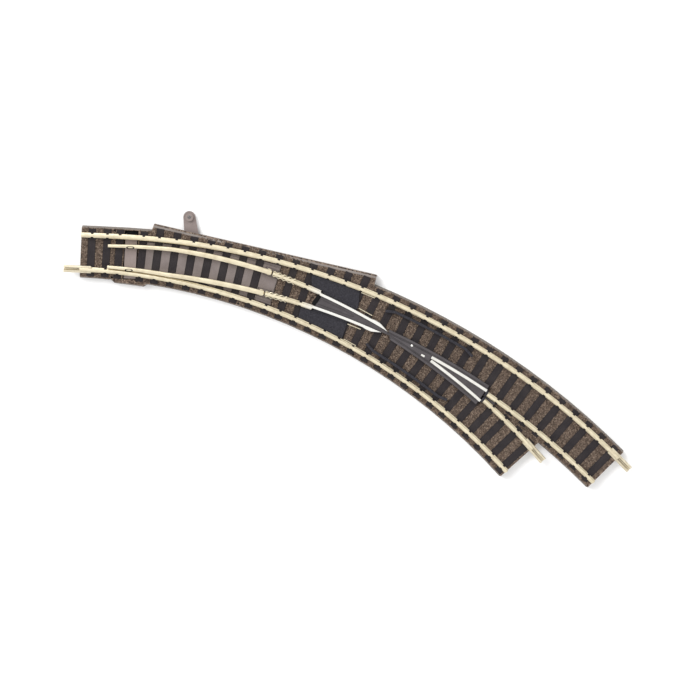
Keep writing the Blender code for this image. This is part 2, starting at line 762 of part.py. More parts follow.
def make_frog():
    """The insulating crossing: a flangeway floor, an island before the throat, the nose and two wing walls."""
    end_outer = exit_station(outer) - 1.0 * MM
    end_inner = exit_station(inner) - 1.0 * MM
    edge = WALL_OFFSET - WING_WALL / 2
    floor_outline = outer.along(THROAT, end_outer, -edge, 6.0 * MM)
    floor_outline += inner.along(end_inner, THROAT, edge, 6.0 * MM)
    frog = plate("crossing_frog", floor_outline, RAIL_BASE, FROG_FLOOR, frog_plastic)

    start = THIN_START + 0.8 * MM
    near = GAUGE / 2 - 0.1 * MM
    front = inner.along(start, THROAT + 0.6 * MM, near, 5.0 * MM)
    front += outer.along(THROAT + 0.6 * MM, start, -near, 5.0 * MM)
    island_half = GAUGE / 2 - FLANGEWAY
    island_end = 85.5 * MM
    island = inner.along(start + 0.4 * MM, island_end, island_half, 5.0 * MM)
    island += outer.along(island_end, start + 0.4 * MM, -island_half, 5.0 * MM)

    tip = nose_station(outer) - 0.3 * MM, nose_station(inner) - 0.3 * MM
    nose_side = NOSE_OFFSET - NOSE_HEAD / 2
    nose_front, nose_back = crossing_point(-nose_side, nose_side)
    nose = outer.along(nose_front, tip[0], -nose_side, 5.0 * MM)
    nose += inner.along(tip[1], nose_back, nose_side, 5.0 * MM)[:-1]
    low = RAIL_BASE + 0.1 * MM
    pieces = [
        plate("frog_front", front, RAIL_BASE + FIT, FROG_FLOOR + 0.1 * MM, helper=True),
        plate("frog_island", island, low, FROG_TOP, helper=True),
        plate("frog_nose", nose, low, FROG_TOP, helper=True),
    ]
    walls = (("frog_outer_wall", outer, -1, end_outer), ("frog_inner_wall", inner, 1, end_inner))
    for name, route, side, end in walls:
        path = route.along(THROAT + 0.1 * MM, end - 0.1 * MM, side * (WALL_OFFSET + FIT), 5.0 * MM)
        pieces.append(sweep(name, path, bar_section(WING_WALL, low, FROG_TOP), helper=True))
    combine(frog, pieces, "UNION")


def check_offset(start, end, side, near, flare):
    """The check rail's offset: parallel to its stock rail, bent away at both ends."""
    def offset(station):
        ends = min(station - start, end - station)
        bent = max(0.0, 1.0 - ends / flare)
        return side * (near - 0.9 * MM * bent)

    return offset


def make_check_rails():
    near = 2.9 * MM
    for name, route, side, start, end in (
        ("outer_check_rail", outer, 1, 95.0 * MM, 124.8 * MM),
        ("inner_check_rail", inner, -1, 93.0 * MM, 123.4 * MM),
    ):
        path = route.along(start, end, check_offset(start, end, side, near, 3.0 * MM), 3.0 * MM)
        sweep(name, path, bar_section(0.8 * MM, RAIL_BASE, FROG_TOP), panel_plastic)


def make_panels():
    """Smooth plates between the stock and closure rails, just before the crossing."""
    start, end = PANEL_SPAN
    clear = HEAD_WIDTH / 2 + 0.15 * MM
    top = RAIL_BASE + 0.35 * MM
    upper = outer.along(start, end, RAIL_OFFSET - clear, 4.0 * MM)
    upper += inner.along(end, start, RAIL_OFFSET + clear, 4.0 * MM)
    plate("outer_infill_panel", upper, RAIL_BASE, top, panel_plastic)
    lower = outer.along(start, end, -RAIL_OFFSET - clear, 4.0 * MM)
    lower += inner.along(end, start, -RAIL_OFFSET + clear, 4.0 * MM)
    plate("inner_infill_panel", lower, RAIL_BASE, top, panel_plastic)


# ---- Rail joiners ----

def make_joiners():
    """Folded metal channels that grip the foot of one rail and stand out to take the next one's."""
    outside = 1.15 * MM
    inside = 0.82 * MM
    lip = 0.42 * MM
    low = 3.35 * MM
    floor = 3.58 * MM
    lip_low = 4.17 * MM
    high = 4.42 * MM
    section = [
        (outside, low),
        (outside, high),
        (lip, high),
        (lip, lip_low),
        (inside, lip_low),
        (inside, floor),
        (-inside, floor),
        (-inside, lip_low),
        (-lip, lip_low),
        (-lip, high),
        (-outside, high),
        (-outside, low),
    ]
    for name, route, station, offset, outward in (
        ("toe_joiner", inner, 0.0, -RAIL_OFFSET, -1),
        ("inner_leg_joiner", inner, inner.length, RAIL_OFFSET, 1),
        ("outer_leg_joiner", outer, outer.length, RAIL_OFFSET, 1),
    ):
        angle = -route.bend(station)
        heading = Vector((math.cos(angle), math.sin(angle))) * outward
        end = route.at(station, offset)
        path = [end - heading * (JOINER_LENGTH - JOINER_OUT), end + heading * JOINER_OUT]
        sweep(name, path, section, joiner_metal)


# ---- Throw mechanism ----

def peg_places():
    """Where the two blades' pegs stand: the outer blade open, the inner one closed."""
    pivot = heel_pivot(inner, 1)
    return turned([peg_centre(inner, 1)], pivot, THROW / (pivot.x - TIE_X))[0], peg_centre(outer, -1)


def make_tie_bar():
    """The bar across the track that both blades' pegs drop into, and the stud that the slide moves it by."""
    centre = (TIE_X, (TIE_Y[0] + TIE_Y[1]) / 2)
    bar = block("tie_bar", centre, (TIE_WIDTH, TIE_Y[1] - TIE_Y[0]), 2.2 * MM, 3.45 * MM, finish=lever_plastic)
    stud = block("tie_stud", STUD, (STUD_SIZE, STUD_SIZE), SLIDE_LOW, 2.4 * MM, helper=True)
    combine(bar, [stud], "UNION")
    holes = [
        block(f"peg_hole_{i + 1}", point, (0.95 * MM, 0.8 * MM), 2.0 * MM, 4.0 * MM, helper=True)
        for i, point in enumerate(peg_places())
    ]
    combine(bar, holes, "DIFFERENCE")


def crank_pin_centre():
    angle = math.pi + LEVER_SWING
    return LEVER_PIVOT + Vector((math.cos(angle), math.sin(angle))) * CRANK


def make_drive_slide():
    """A flat slide that carries the lever's crank movement along the bed to the tie bar."""
    pin = crank_pin_centre()
    corners = [
        Vector((SLIDE_X[0], SLIDE_Y[0])),
        Vector((SLIDE_X[1], SLIDE_Y[0])),
        Vector((SLIDE_X[1], SLIDE_Y[1])),
        Vector((SLIDE_X[0], SLIDE_Y[1])),
    ]
    slide = plate("drive_slide", corners, SLIDE_LOW, SLIDE_HIGH, cover_plastic)
    stud_hole = STUD_SIZE + 2 * FIT
    cuts = [
        block("stud_hole", STUD, (stud_hole, stud_hole), 1.0 * MM, 3.0 * MM, helper=True),
        block("crank_slot", pin, (1.5 * MM, 2 * CRANK_PIN + 2 * FIT), 1.0 * MM, 3.0 * MM, helper=True),
    ]
    notch_x = (SLIDE_X[0] + SLIDE_X[1]) / 2
    for i in range(2):
        spot = (notch_x + DETENT_GAP * i, SLIDE_Y[0])
        notch = (0.8 * MM, 0.8 * MM)
        cuts.append(block(f"detent_notch_{i + 1}", spot, notch, 1.0 * MM, 3.0 * MM, math.pi / 4, helper=True))
    combine(slide, cuts, "DIFFERENCE")


def make_lever():
    """The throw lever: a tapered arm with a ringed tip, turning on a pin, and a crank pin on its short side."""
    tip = LEVER_PIVOT + Vector((math.cos(LEVER_REST), math.sin(LEVER_REST))) * LEVER_REACH
    tip_radius = 1.85 * MM
    hub = 2.3 * MM
    outline = arc(LEVER_PIVOT, hub, LEVER_REST + math.pi / 2, math.pi)
    outline += arc(tip, tip_radius, LEVER_REST - math.pi / 2, math.pi)
    lever = plate("throw_lever", outline, LEVER_LOW, LEVER_HIGH, lever_plastic, origin=LEVER_PIVOT)
    pin = crank_pin_centre()
    adds = [
        rod("crank_end", pin, 0.95 * MM, LEVER_LOW, LEVER_HIGH, helper=True),
        rod("crank_pin", pin, CRANK_PIN, LEVER_LOW + 0.1 * MM, SLIDE_HIGH - FIT, helper=True),
        rod("tip_boss", tip, 1.25 * MM, LEVER_LOW + 0.1 * MM, 2.2 * MM, helper=True),
    ]
    combine(lever, adds, "UNION")
    cuts = [
        rod("pivot_bore", LEVER_PIVOT, PIVOT_RADIUS + RUNNING_FIT, 0.0, 2.0 * MM, helper=True),
        rod("tip_hole", tip, 0.6 * MM, 0.0, 3.0 * MM, helper=True),
    ]
    combine(lever, cuts, "DIFFERENCE")
    rod("lever_pivot_pin", LEVER_PIVOT, PIVOT_RADIUS, 0.15 * MM, 2.85 * MM, joiner_metal)


def make_detent_spring():
    """A bent wire whose crest rests by the slide and holds it at either end of its throw."""
    z = (SLIDE_LOW + SLIDE_HIGH) / 2
    wire = 0.18 * MM
    y = 1.6 * MM
    middle = (SLIDE_X[0] + SLIDE_X[1]) / 2
    points = []
    for i in range(-6, 7):
        points.append((middle + i * 1.6 * MM, y + 0.55 * MM * math.cos(i * math.pi / 6) ** 2, z))
    curve = bpy.data.curves.new("detent_spring", "CURVE")
    curve.dimensions = "3D"
    curve.bevel_depth = wire
    curve.bevel_resolution = 2
    curve.use_fill_caps = True
    poly_spline(curve, points, False)
    keep("detent_spring", curve_mesh(curve), spring_steel)


def make_cover():
    """The plate that closes the mechanism's bay from below, held by four screws."""
    inset = 0.35 * MM
    side = BED_HALF - WALL - inset
    start, end = MECHANISM_BAY[0] + inset, MECHANISM_BAY[1] - inset
    outline = outer.along(start, end, side) + inner.along(end, start, -side)
    cover = plate("mechanism_cover", outline, COVER_LOW, COVER_HIGH, cover_plastic)
    holes = [
        rod(f"cover_hole_{i + 1}", centre, SCREW_RADIUS + 0.1 * MM, 0.0, 1.5 * MM, helper=True)
        for i, centre in enumerate(COVER_SCREWS)
    ]
    holes.append(rod("cover_pivot_hole", LEVER_PIVOT, PIVOT_RADIUS + 0.1 * MM, 0.0, 1.5 * MM, helper=True))
    combine(cover, holes, "DIFFERENCE")
    for i, centre in enumerate(COVER_SCREWS):
        screw = rod(f"cover_screw_{i + 1}", centre, SCREW_RADIUS, 0.2 * MM, 2.35 * MM, joiner_metal)
        head = rod(f"screw_head_{i + 1}", centre, 1.0 * MM, 0.03 * MM, COVER_LOW - FIT, helper=True)
        slot = block(f"screw_slot_{i + 1}", centre, (2.4 * MM, 0.3 * MM), -0.1 * MM, 0.15 * MM, helper=True)
        combine(screw, [head], "UNION")
        combine(screw, [slot], "DIFFERENCE")


def centre_on_origin():
    """Moves the whole model so that the origin is under the middle of its box."""
    bpy.context.view_layer.update()
    graph = bpy.context.evaluated_depsgraph_get()
    corners = [
        obj.matrix_world @ Vector(corner)
        for obj in parts.objects
        if obj.type == "MESH"
        for corner in obj.evaluated_get(graph).bound_box
    ]
    low = [min(corner[axis] for corner in corners) for axis in range(3)]
    high = [max(corner[axis] for corner in corners) for axis in range(3)]
    root.location = (-(low[0] + high[0]) / 2, -(low[1] + high[1]) / 2, -low[2])


make_bed()
make_feed_strips()
make_sleepers()
make_slide_plate()
make_stock_rails()
make_blades()
make_heel_joints()
make_closure_rails()
make_exit_rails()
make_frog()
make_check_rails()
make_panels()
make_joiners()
make_tie_bar()
make_drive_slide()
make_lever()
make_detent_spring()
make_cover()
centre_on_origin()
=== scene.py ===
import math

import bpy
import numpy as np
from mathutils import Matrix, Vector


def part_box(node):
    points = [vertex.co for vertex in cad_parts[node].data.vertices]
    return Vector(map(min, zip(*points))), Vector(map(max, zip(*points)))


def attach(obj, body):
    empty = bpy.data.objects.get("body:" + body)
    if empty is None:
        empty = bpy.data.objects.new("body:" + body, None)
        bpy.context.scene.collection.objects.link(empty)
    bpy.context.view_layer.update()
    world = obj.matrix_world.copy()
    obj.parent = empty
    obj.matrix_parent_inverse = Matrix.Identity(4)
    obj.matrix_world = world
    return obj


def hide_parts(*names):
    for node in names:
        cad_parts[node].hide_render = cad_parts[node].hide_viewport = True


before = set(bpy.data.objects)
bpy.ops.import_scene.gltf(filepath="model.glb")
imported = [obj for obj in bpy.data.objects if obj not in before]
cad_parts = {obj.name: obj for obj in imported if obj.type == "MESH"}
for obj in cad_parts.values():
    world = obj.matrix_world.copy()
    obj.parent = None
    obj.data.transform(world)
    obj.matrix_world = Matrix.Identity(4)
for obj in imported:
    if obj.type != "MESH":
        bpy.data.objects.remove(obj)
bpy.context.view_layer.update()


mm = 0.001
dice = np.random.default_rng(11)
print("frame loaded:", len(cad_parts), "nodes")

# where the track runs: both legs leave the toe, then bend right on their own radius
layout = {
    "innerRadius": 0.192,
    "innerArc": math.radians(45.5),
    "outerRadius": 0.2256,
    "outerArc": math.radians(42.5),
    "outerLead": 0.0111,
    "railOffset": 0.00525,
    "sleeperHalf": 0.0069,
    "sleeperWidth": 0.0023,
    "outerPitch": 0.00528,
    "innerPitch": 0.00506,
    "bladePitch": 0.00515,
    "bedTop": 0.0032,
    "sleeperTop": 0.0036,
    "railBase": 0.00365,
    "railTop": 0.00565,
}
joinerY = sum(corner.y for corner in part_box("toe_joiner")) / 2
toeCorner = np.array([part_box("ballast_bed")[0].x, joinerY + layout["railOffset"]])
inner = (0.0, layout["innerRadius"], layout["innerRadius"] * layout["innerArc"])
outer = (
    layout["outerLead"],
    layout["outerRadius"],
    layout["outerLead"] + layout["outerRadius"] * layout["outerArc"],
)


# bend angle = the station past the lead, over the radius, and never under zero
def bendAt(route, station):
    return np.maximum(0.0, (np.asarray(station, float) - route[0]) / route[1])


# point = straight part of the station, then radius plus offset turned by the bend angle
def onRoute(route, station, offset=0.0):
    station = np.asarray(station, float)
    bend = bendAt(route, station)
    x = np.minimum(station, route[0]) + (route[1] + offset) * np.sin(bend)
    y = (route[1] + offset) * np.cos(bend) - route[1]
    return np.stack([x + toeCorner[0], y + toeCorner[1]], axis=-1)


# left of travel at a station: the heading turned a quarter turn
def leftOf(route, station):
    bend = bendAt(route, station)
    return np.stack([np.sin(bend), np.cos(bend), np.zeros_like(bend)], axis=-1)


# station and offset of a point: polar angle and distance about the arc's centre past the lead
def locate(route, point):
    local = np.asarray(point, float)[..., :2] - toeCorner
    dx = local[..., 0] - route[0]
    dy = local[..., 1] + route[1]
    bent = dx > 0
    station = np.where(bent, route[0] + route[1] * np.arctan2(np.maximum(dx, 0), dy), local[..., 0])
    offset = np.where(bent, np.hypot(dx, dy) - route[1], local[..., 1])
    return station, offset


# smooth the mesh up to an angle, give it its finish, and tie it to its body and CAD nodes
def finishPiece(name, mesh, material, body, replaced, smoothAngle):
    mesh.validate()
    mesh.polygons.foreach_set("use_smooth", np.ones(len(mesh.polygons), bool))
    mesh.set_sharp_from_angle(angle=math.radians(smoothAngle))
    mesh.materials.append(material)
    piece = bpy.data.objects.new(name, mesh)
    bpy.context.scene.collection.objects.link(piece)
    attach(piece, body)
    if replaced:
        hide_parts(*replaced)
    return piece


# a mesh from points and faces, with a tone or a run value at each point where they are given
def newMesh(name, points, faces, tone=None, run=None):
    mesh = bpy.data.meshes.new(name)
    mesh.from_pydata(np.asarray(points).reshape(-1, 3).tolist(), [], faces)
    attributes = (("tone", "FLOAT", "value", tone), ("run", "FLOAT_VECTOR", "vector", run))
    for label, kind, key, values in attributes:
        if values is not None:
            data = mesh.attributes.new(label, kind, "POINT").data
            data.foreach_set(key, values.astype(np.float32).ravel())
    return mesh


# point = path point + left times the profile's sideways value + up times its height value;
# the profile is closed and may change along the path, and both ends are capped
def carried(path, left, profile):
    rows = len(path)
    profile = np.broadcast_to(profile, (rows,) + profile.shape[-2:])
    points = path[:, None, :] + left[:, None, :] * profile[..., :1] + np.array([0, 0, 1.0]) * profile[..., 1:]
    around = profile.shape[1]
    i, j = np.meshgrid(np.arange(rows - 1), np.arange(around), indexing="ij")
    nextJ = (j + 1) % around
    quads = np.stack([i * around + j, i * around + nextJ, (i + 1) * around + nextJ, (i + 1) * around + j], -1)
    faces = quads.reshape(-1, 4).tolist()
    faces.append(list(range(around))[::-1])
    faces.append([(rows - 1) * around + k for k in range(around)])
    steps = np.linalg.norm(np.diff(path, axis=0, prepend=path[:1]), axis=1)
    along = np.cumsum(steps)[:, None] * np.ones(around)
    run = np.stack([along, profile[..., 0], profile[..., 1]], -1)
    return points.reshape(-1, 3), faces, run.reshape(-1, 3)


# several closed shapes put into one mesh, their face numbers moved on
def together(shapes):
    points, faces, runs = [], [], []
    count = 0
    for shape in shapes:
        points.append(shape[0])
        runs.append(shape[2])
        faces += [[corner + count for corner in face] for face in shape[1]]
        count += len(shape[0])
    return np.concatenate(points), faces, np.concatenate(runs)


# copies of one small shape: point = place + turn matrix times the size times the shape's point
def scattered(shapePoints, shapeFaces, places, turns, sizes):
    points = np.einsum("nij,nkj->nki", turns, shapePoints * sizes[:, None, :]) + places[:, None, :]
    count = shapePoints.shape[-2]
    first = np.arange(len(places)) * count
    faces = shapeFaces[None] + first[:, None, None]
    return points.reshape(-1, 3), faces.reshape(-1, shapeFaces.shape[1])


# turn about the vertical by an angle
def turnedFlat(angle):
    c, s = np.cos(angle), np.sin(angle)
    zero, one = np.zeros_like(c), np.ones_like(c)
    rows = [np.stack(row, -1) for row in ((c, -s, zero), (s, c, zero), (zero, zero, one))]
    return np.stack(rows, -2)


# a turned shape: radius and height along the profile, carried round; first and last radius are zero
def latheShape(profile, sides=20):
    radius, height = np.asarray(profile, float).T
    turn = np.arange(sides) * 2 * math.pi / sides
    ring = np.stack([np.cos(turn), np.sin(turn)], -1)
    middle = radius[1:-1, None, None] * ring[None]
    rows = np.concatenate([middle, np.broadcast_to(height[1:-1, None, None], middle.shape[:2] + (1,))], -1)
    points = np.concatenate([rows.reshape(-1, 3), [[0, 0, height[0]], [0, 0, height[-1]]]])
    k = np.arange(sides)
    n = (k + 1) % sides
    faces = []
    for level in range(len(radius) - 3):
        a, b = level * sides, (level + 1) * sides
        faces.append(np.stack([a + k, a + n, b + n], -1))
        faces.append(np.stack([a + k, b + n, b + k], -1))
    low, high = len(points) - 2, len(points) - 1
    last = (len(radius) - 3) * sides
    faces.append(np.stack([np.full(sides, low), n, k], -1))
    faces.append(np.stack([np.full(sides, high), last + k, last + n], -1))
    return points, np.concatenate(faces)


# a new material with its roughness and its share of metal
def finishNodes(name, roughness, metallic=0.0):
    material = bpy.data.materials.new(name)
    material.use_nodes = True
    tree = material.node_tree
    shader = tree.nodes["Principled BSDF"]
    shader.inputs["Roughness"].default_value = roughness
    shader.inputs["Metallic"].default_value = metallic
    shader.inputs["Specular IOR Level"].default_value = 0.5 if metallic else 0.16
    return material, tree, shader


# a shader node with its inputs, or else its settings, set by name
def addNode(tree, kind, **values):
    node = tree.nodes.new(kind)
    for key, value in values.items():
        if key in node.inputs:
            node.inputs[key].default_value = value
        else:
            setattr(node, key, value)
    return node


# colour by value: each stop is a place between 0 and 1 and its colour
def rampOf(tree, source, stops):
    ramp = tree.nodes.new("ShaderNodeValToRGB")
    while len(ramp.color_ramp.elements) < len(stops):
        ramp.color_ramp.elements.new(0.5)
    for element, (place, colour) in zip(ramp.color_ramp.elements, stops):
        element.position = place
        element.color = (*colour, 1.0)
    tree.links.new(source, ramp.inputs["Fac"])
    return ramp.outputs["Color"]


# noise between 0 and 1 at the vector times the scale
def noiseOf(tree, vector, scale, detail=4.0, rough=0.55):
    noise = addNode(tree, "ShaderNodeTexNoise", Scale=scale, Detail=detail, Roughness=rough)
    tree.links.new(vector, noise.inputs["Vector"])
    return noise.outputs["Fac"]


# the surface's normal leans by the slope of the heights, times the strength
def bumpInto(tree, shader, heights, strength, distance):
    bump = addNode(tree, "ShaderNodeBump", Strength=strength, Distance=distance)
    tree.links.new(heights, bump.inputs["Height"])
    tree.links.new(bump.outputs["Normal"], shader.inputs["Normal"])


# colour = first times (1 - share) plus second times share
def mixedColour(tree, share, first, second):
    mix = tree.nodes.new("ShaderNodeMix")
    mix.data_type = "RGBA"
    for socket, value in ((mix.inputs[0], share), (mix.inputs[6], first), (mix.inputs[7], second)):
        if isinstance(value, (tuple, float)):
            socket.default_value = value if isinstance(value, float) else (*value, 1.0)
        else:
            tree.links.new(value, socket)
    return mix.outputs[2]


# roughness = low plus (high - low) times the source
def roughnessFrom(tree, shader, source, low, high):
    spread = addNode(tree, "ShaderNodeMapRange")
    spread.inputs["To Min"].default_value = low
    spread.inputs["To Max"].default_value = high
    tree.links.new(source, spread.inputs["Value"])
    tree.links.new(spread.outputs["Result"], shader.inputs["Roughness"])


# plastic: two shades mixed by coarse noise, darkened by fine noise, with a fine moulded grain
def plasticFinish(name, values):
    material, tree, shader = finishNodes(name, values["roughness"])
    place = tree.nodes.new("ShaderNodeTexCoord").outputs["Object"]
    patches = noiseOf(tree, place, values["patch"], 3.0)
    grain = noiseOf(tree, place, values["grain"], 6.0, 0.65)
    body = rampOf(tree, patches, [(0.32, values["dark"]), (0.68, values["light"])])
    worn = rampOf(tree, grain, [(0.3, values["speckDark"]), (0.72, values["speckLight"])])
    colour = mixedColour(tree, values["speck"], body, worn)
    tree.links.new(colour, shader.inputs["Base Color"])
    roughnessFrom(tree, shader, grain, values["roughness"] - 0.12, values["roughness"] + 0.12)
    bumpInto(tree, shader, grain, values["bump"], 0.00012)
    return material


# metal: streaks drawn along the rail by a noise squeezed across it, tarnish in patches
def metalFinish(name, values):
    material, tree, shader = finishNodes(name, values["roughness"], values["metallic"])
    if values["followRail"]:
        place = addNode(tree, "ShaderNodeAttribute", attribute_name="run").outputs["Vector"]
    else:
        place = tree.nodes.new("ShaderNodeTexCoord").outputs["Object"]
    squeeze = addNode(tree, "ShaderNodeMapping")
    squeeze.inputs["Scale"].default_value = values["squeeze"]
    tree.links.new(place, squeeze.inputs["Vector"])
    streaks = noiseOf(tree, squeeze.outputs["Vector"], values["streak"], 5.0)
    objectPlace = tree.nodes.new("ShaderNodeTexCoord").outputs["Object"]
    tarnish = noiseOf(tree, objectPlace, values["tarnish"], 4.0)
    body = rampOf(tree, tarnish, [(0.3, values["dark"]), (0.62, values["light"])])
    drawn = rampOf(tree, streaks, [(0.25, values["streakDark"]), (0.75, values["streakLight"])])
    colour = mixedColour(tree, 0.35, body, drawn)
    if "white" in values:
        tone = addNode(tree, "ShaderNodeAttribute", attribute_name="tone").outputs["Fac"]
        colour = mixedColour(tree, tone, colour, values["white"])
    tree.links.new(colour, shader.inputs["Base Color"])
    roughnessFrom(tree, shader, streaks, values["roughness"] - 0.08, values["roughness"] + 0.14)
    bumpInto(tree, shader, streaks, values["bump"], 0.00002)
    return material


# stones: each one's own tone picks its shade, and a fine noise pits it
def stoneFinish(name, values):
    material, tree, shader = finishNodes(name, values["roughness"])
    place = tree.nodes.new("ShaderNodeTexCoord").outputs["Object"]
    tone = addNode(tree, "ShaderNodeAttribute", attribute_name="tone").outputs["Fac"]
    pits = noiseOf(tree, place, values["pits"], 5.0, 0.7)
    body = rampOf(tree, tone, values["shades"])
    pitted = rampOf(tree, pits, [(0.25, values["shades"][0][1]), (0.8, values["shades"][-1][1])])
    tree.links.new(mixedColour(tree, 0.3, body, pitted), shader.inputs["Base Color"])
    bumpInto(tree, shader, pits, 0.5, 0.00008)
    return material


# moulded bed: voronoi grains on the level top; the sloping sides are smooth and painted paler, a painted
# highlight for the light on the slopes
def bedFinish(name, values):
    material, tree, shader = finishNodes(name, values["roughness"])
    place = tree.nodes.new("ShaderNodeTexCoord").outputs["Object"]
    cells = addNode(tree, "ShaderNodeTexVoronoi", Scale=values["grains"])
    tree.links.new(place, cells.inputs["Vector"])
    fine = noiseOf(tree, place, values["fine"], 5.0, 0.7)
    grainTone = tree.nodes.new("ShaderNodeSeparateColor")
    tree.links.new(cells.outputs["Color"], grainTone.inputs["Color"])
    top = rampOf(tree, grainTone.outputs["Red"], values["shades"])
    # painted highlight: sloping faces get a paler colour for the light falling on them
    side = rampOf(tree, fine, [(0.3, values["paintedLitSlopeDark"]), (0.7, values["paintedLitSlopeLight"])])
    normal = tree.nodes.new("ShaderNodeNewGeometry").outputs["Normal"]
    split = tree.nodes.new("ShaderNodeSeparateXYZ")
    tree.links.new(normal, split.inputs["Vector"])
    facingUp = addNode(tree, "ShaderNodeMath", operation="GREATER_THAN")
    facingUp.inputs[1].default_value = 0.8
    tree.links.new(split.outputs["Z"], facingUp.inputs[0])
    tree.links.new(mixedColour(tree, facingUp.outputs[0], side, top), shader.inputs["Base Color"])
    bumpInto(tree, shader, cells.outputs["Distance"], 0.6, 0.0002)
    return material


stoneShades = [
    (0.0, (0.030, 0.021, 0.018)),
    (0.3, (0.085, 0.060, 0.046)),
    (0.6, (0.165, 0.118, 0.090)),
    (1.0, (0.300, 0.232, 0.180)),
]
ballastStone = stoneFinish("ballastStone", {"roughness": 0.9, "pits": 5200.0, "shades": stoneShades})
ballastBed = bedFinish(
    "ballastBed",
    {
        "roughness": 0.85,
        "grains": 2300.0,
        "fine": 2600.0,
        "shades": stoneShades,
        # paler colours of the slopes: painted highlight
        "paintedLitSlopeDark": (0.135, 0.115, 0.100),
        "paintedLitSlopeLight": (0.245, 0.215, 0.190),
    },
)
plainValues = {
    "roughness": 0.62,
    "patch": 260.0,
    "grain": 3600.0,
    "speck": 0.3,
    "bump": 0.35,
}
sleeperPlastic = plasticFinish(
    "sleeperPlastic",
    dict(
        plainValues,
        dark=(0.012, 0.010, 0.013),
        light=(0.028, 0.023, 0.025),
        speckDark=(0.006, 0.005, 0.006),
        speckLight=(0.060, 0.050, 0.048),
        bump=0.6,
    ),
)
slidePlastic = plasticFinish(
    "slidePlastic",
    dict(
        plainValues,
        dark=(0.145, 0.119, 0.112),
        light=(0.200, 0.168, 0.160),
        speckDark=(0.100, 0.080, 0.076),
        speckLight=(0.240, 0.207, 0.196),
    ),
)
# paler plastic for the flange's shoulder: a painted highlight
rimPaintedHighlight = plasticFinish(
    "rimPaintedHighlight",
    dict(
        plainValues,
        dark=(0.190, 0.165, 0.150),
        light=(0.262, 0.232, 0.214),
        speckDark=(0.120, 0.100, 0.090),
        speckLight=(0.330, 0.300, 0.280),
    ),
)
leverPlastic = plasticFinish(
    "leverPlastic",
    dict(
        plainValues,
        dark=(0.205, 0.165, 0.155),
        light=(0.262, 0.216, 0.202),
        speckDark=(0.150, 0.120, 0.112),
        speckLight=(0.310, 0.265, 0.250),
    ),
)
crossingPlastic = plasticFinish(
    "crossingPlastic",
    dict(
        plainValues,
        dark=(0.058, 0.052, 0.055),
        light=(0.082, 0.074, 0.078),
        speckDark=(0.040, 0.035, 0.037),
        speckLight=(0.115, 0.104, 0.108),
        roughness=0.5,
    ),
)
darkPlastic = plasticFinish(
    "darkPlastic",
    dict(
        plainValues,
        patch=1500.0,
        speck=0.45,
        dark=(0.008, 0.008, 0.011),
        light=(0.030, 0.029, 0.037),
        speckDark=(0.004, 0.004, 0.006),
        speckLight=(0.070, 0.066, 0.078),
        roughness=0.55,
    ),
)
# near-black plastic painted as shade, for gaps and shadowed floors where there is only shade
paintedShadeBlack = plasticFinish(
    "paintedShadeBlack",
    dict(
        plainValues,
        dark=(0.002, 0.002, 0.003),
        light=(0.006, 0.006, 0.007),
        speckDark=(0.001, 0.001, 0.001),
        speckLight=(0.012, 0.012, 0.013),
        roughness=0.8,
    ),
)
coverPlastic = plasticFinish(
    "coverPlastic",
    dict(
        plainValues,
        dark=(0.022, 0.019, 0.019),
        light=(0.034, 0.030, 0.030),
        speckDark=(0.014, 0.012, 0.012),
        speckLight=(0.055, 0.050, 0.050),
        roughness=0.5,
    ),
)
metalValues = {
    "metallic": 0.75,
    "roughness": 0.34,
    "squeeze": (0.06, 1.0, 1.0),
    "streak": 9000.0,
    "tarnish": 420.0,
    "bump": 0.25,
    "followRail": True,
    "dark": (0.62, 0.53, 0.36),
    "light": (0.86, 0.77, 0.56),
    "streakDark": (0.52, 0.44, 0.30),
    "streakLight": (0.92, 0.85, 0.66),
    "white": (0.86, 0.85, 0.80),
}
railMetal = metalFinish("railMetal", metalValues)
plainMetal = dict(metalValues, followRail=False, squeeze=(1.0, 1.0, 1.0), streak=3000.0)
del plainMetal["white"]
joinerMetal = metalFinish(
    "joinerMetal",
    dict(plainMetal, dark=(0.55, 0.47, 0.33), light=(0.80, 0.72, 0.55), streakDark=(0.50, 0.44, 0.32)),
)
crossingMetal = metalFinish(
    "crossingMetal",
    dict(
        metalValues,
        dark=(0.74, 0.72, 0.66),
        light=(0.88, 0.87, 0.82),
        streakDark=(0.70, 0.68, 0.62),
        streakLight=(0.93, 0.92, 0.88),
    ),
)
springSteel = metalFinish(
    "springSteel",
    dict(
        plainMetal,
        dark=(0.42, 0.42, 0.44),
        light=(0.58, 0.58, 0.60),
        streakDark=(0.38, 0.38, 0.40),
        streakLight=(0.68, 0.68, 0.70),
    ),
)
print("finishes made")

# CAD nodes that stay as they are take the finish of their kind
nodeFinishes = {
    "ballast_bed": ballastBed,
    "outer_heel_shoe": slidePlastic,
    "inner_heel_shoe": slidePlastic,
    "blade_slide_plate": slidePlastic,
    "tie_bar": leverPlastic,
    "throw_lever": leverPlastic,
    "drive_slide": coverPlastic,
    "mechanism_cover": coverPlastic,
    "crossing_frog": crossingPlastic,
    "outer_infill_panel": darkPlastic,
    "inner_infill_panel": darkPlastic,
    "outer_insulator": darkPlastic,
    "inner_insulator": darkPlastic,
    "outer_check_rail": darkPlastic,
    "inner_check_rail": darkPlastic,
    "detent_spring": springSteel,
}
for nodeName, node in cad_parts.items():
    finish = nodeFinishes.get(nodeName, joinerMetal)
    node.data.materials.clear()
    node.data.materials.append(finish)

# sleepers' places, for the chairs and the stones
toeStations = np.array([0.0033, 0.0080, 0.01185])
bladeStations = np.append(0.0189, 0.0236 + layout["bladePitch"] * np.arange(7))
frontStations = np.concatenate([toeStations, bladeStations])
outerClosure = 0.0649 + layout["outerPitch"] * np.arange(7)
innerClosure = 0.0646 + layout["innerPitch"] * np.arange(7)
half = layout["sleeperHalf"]
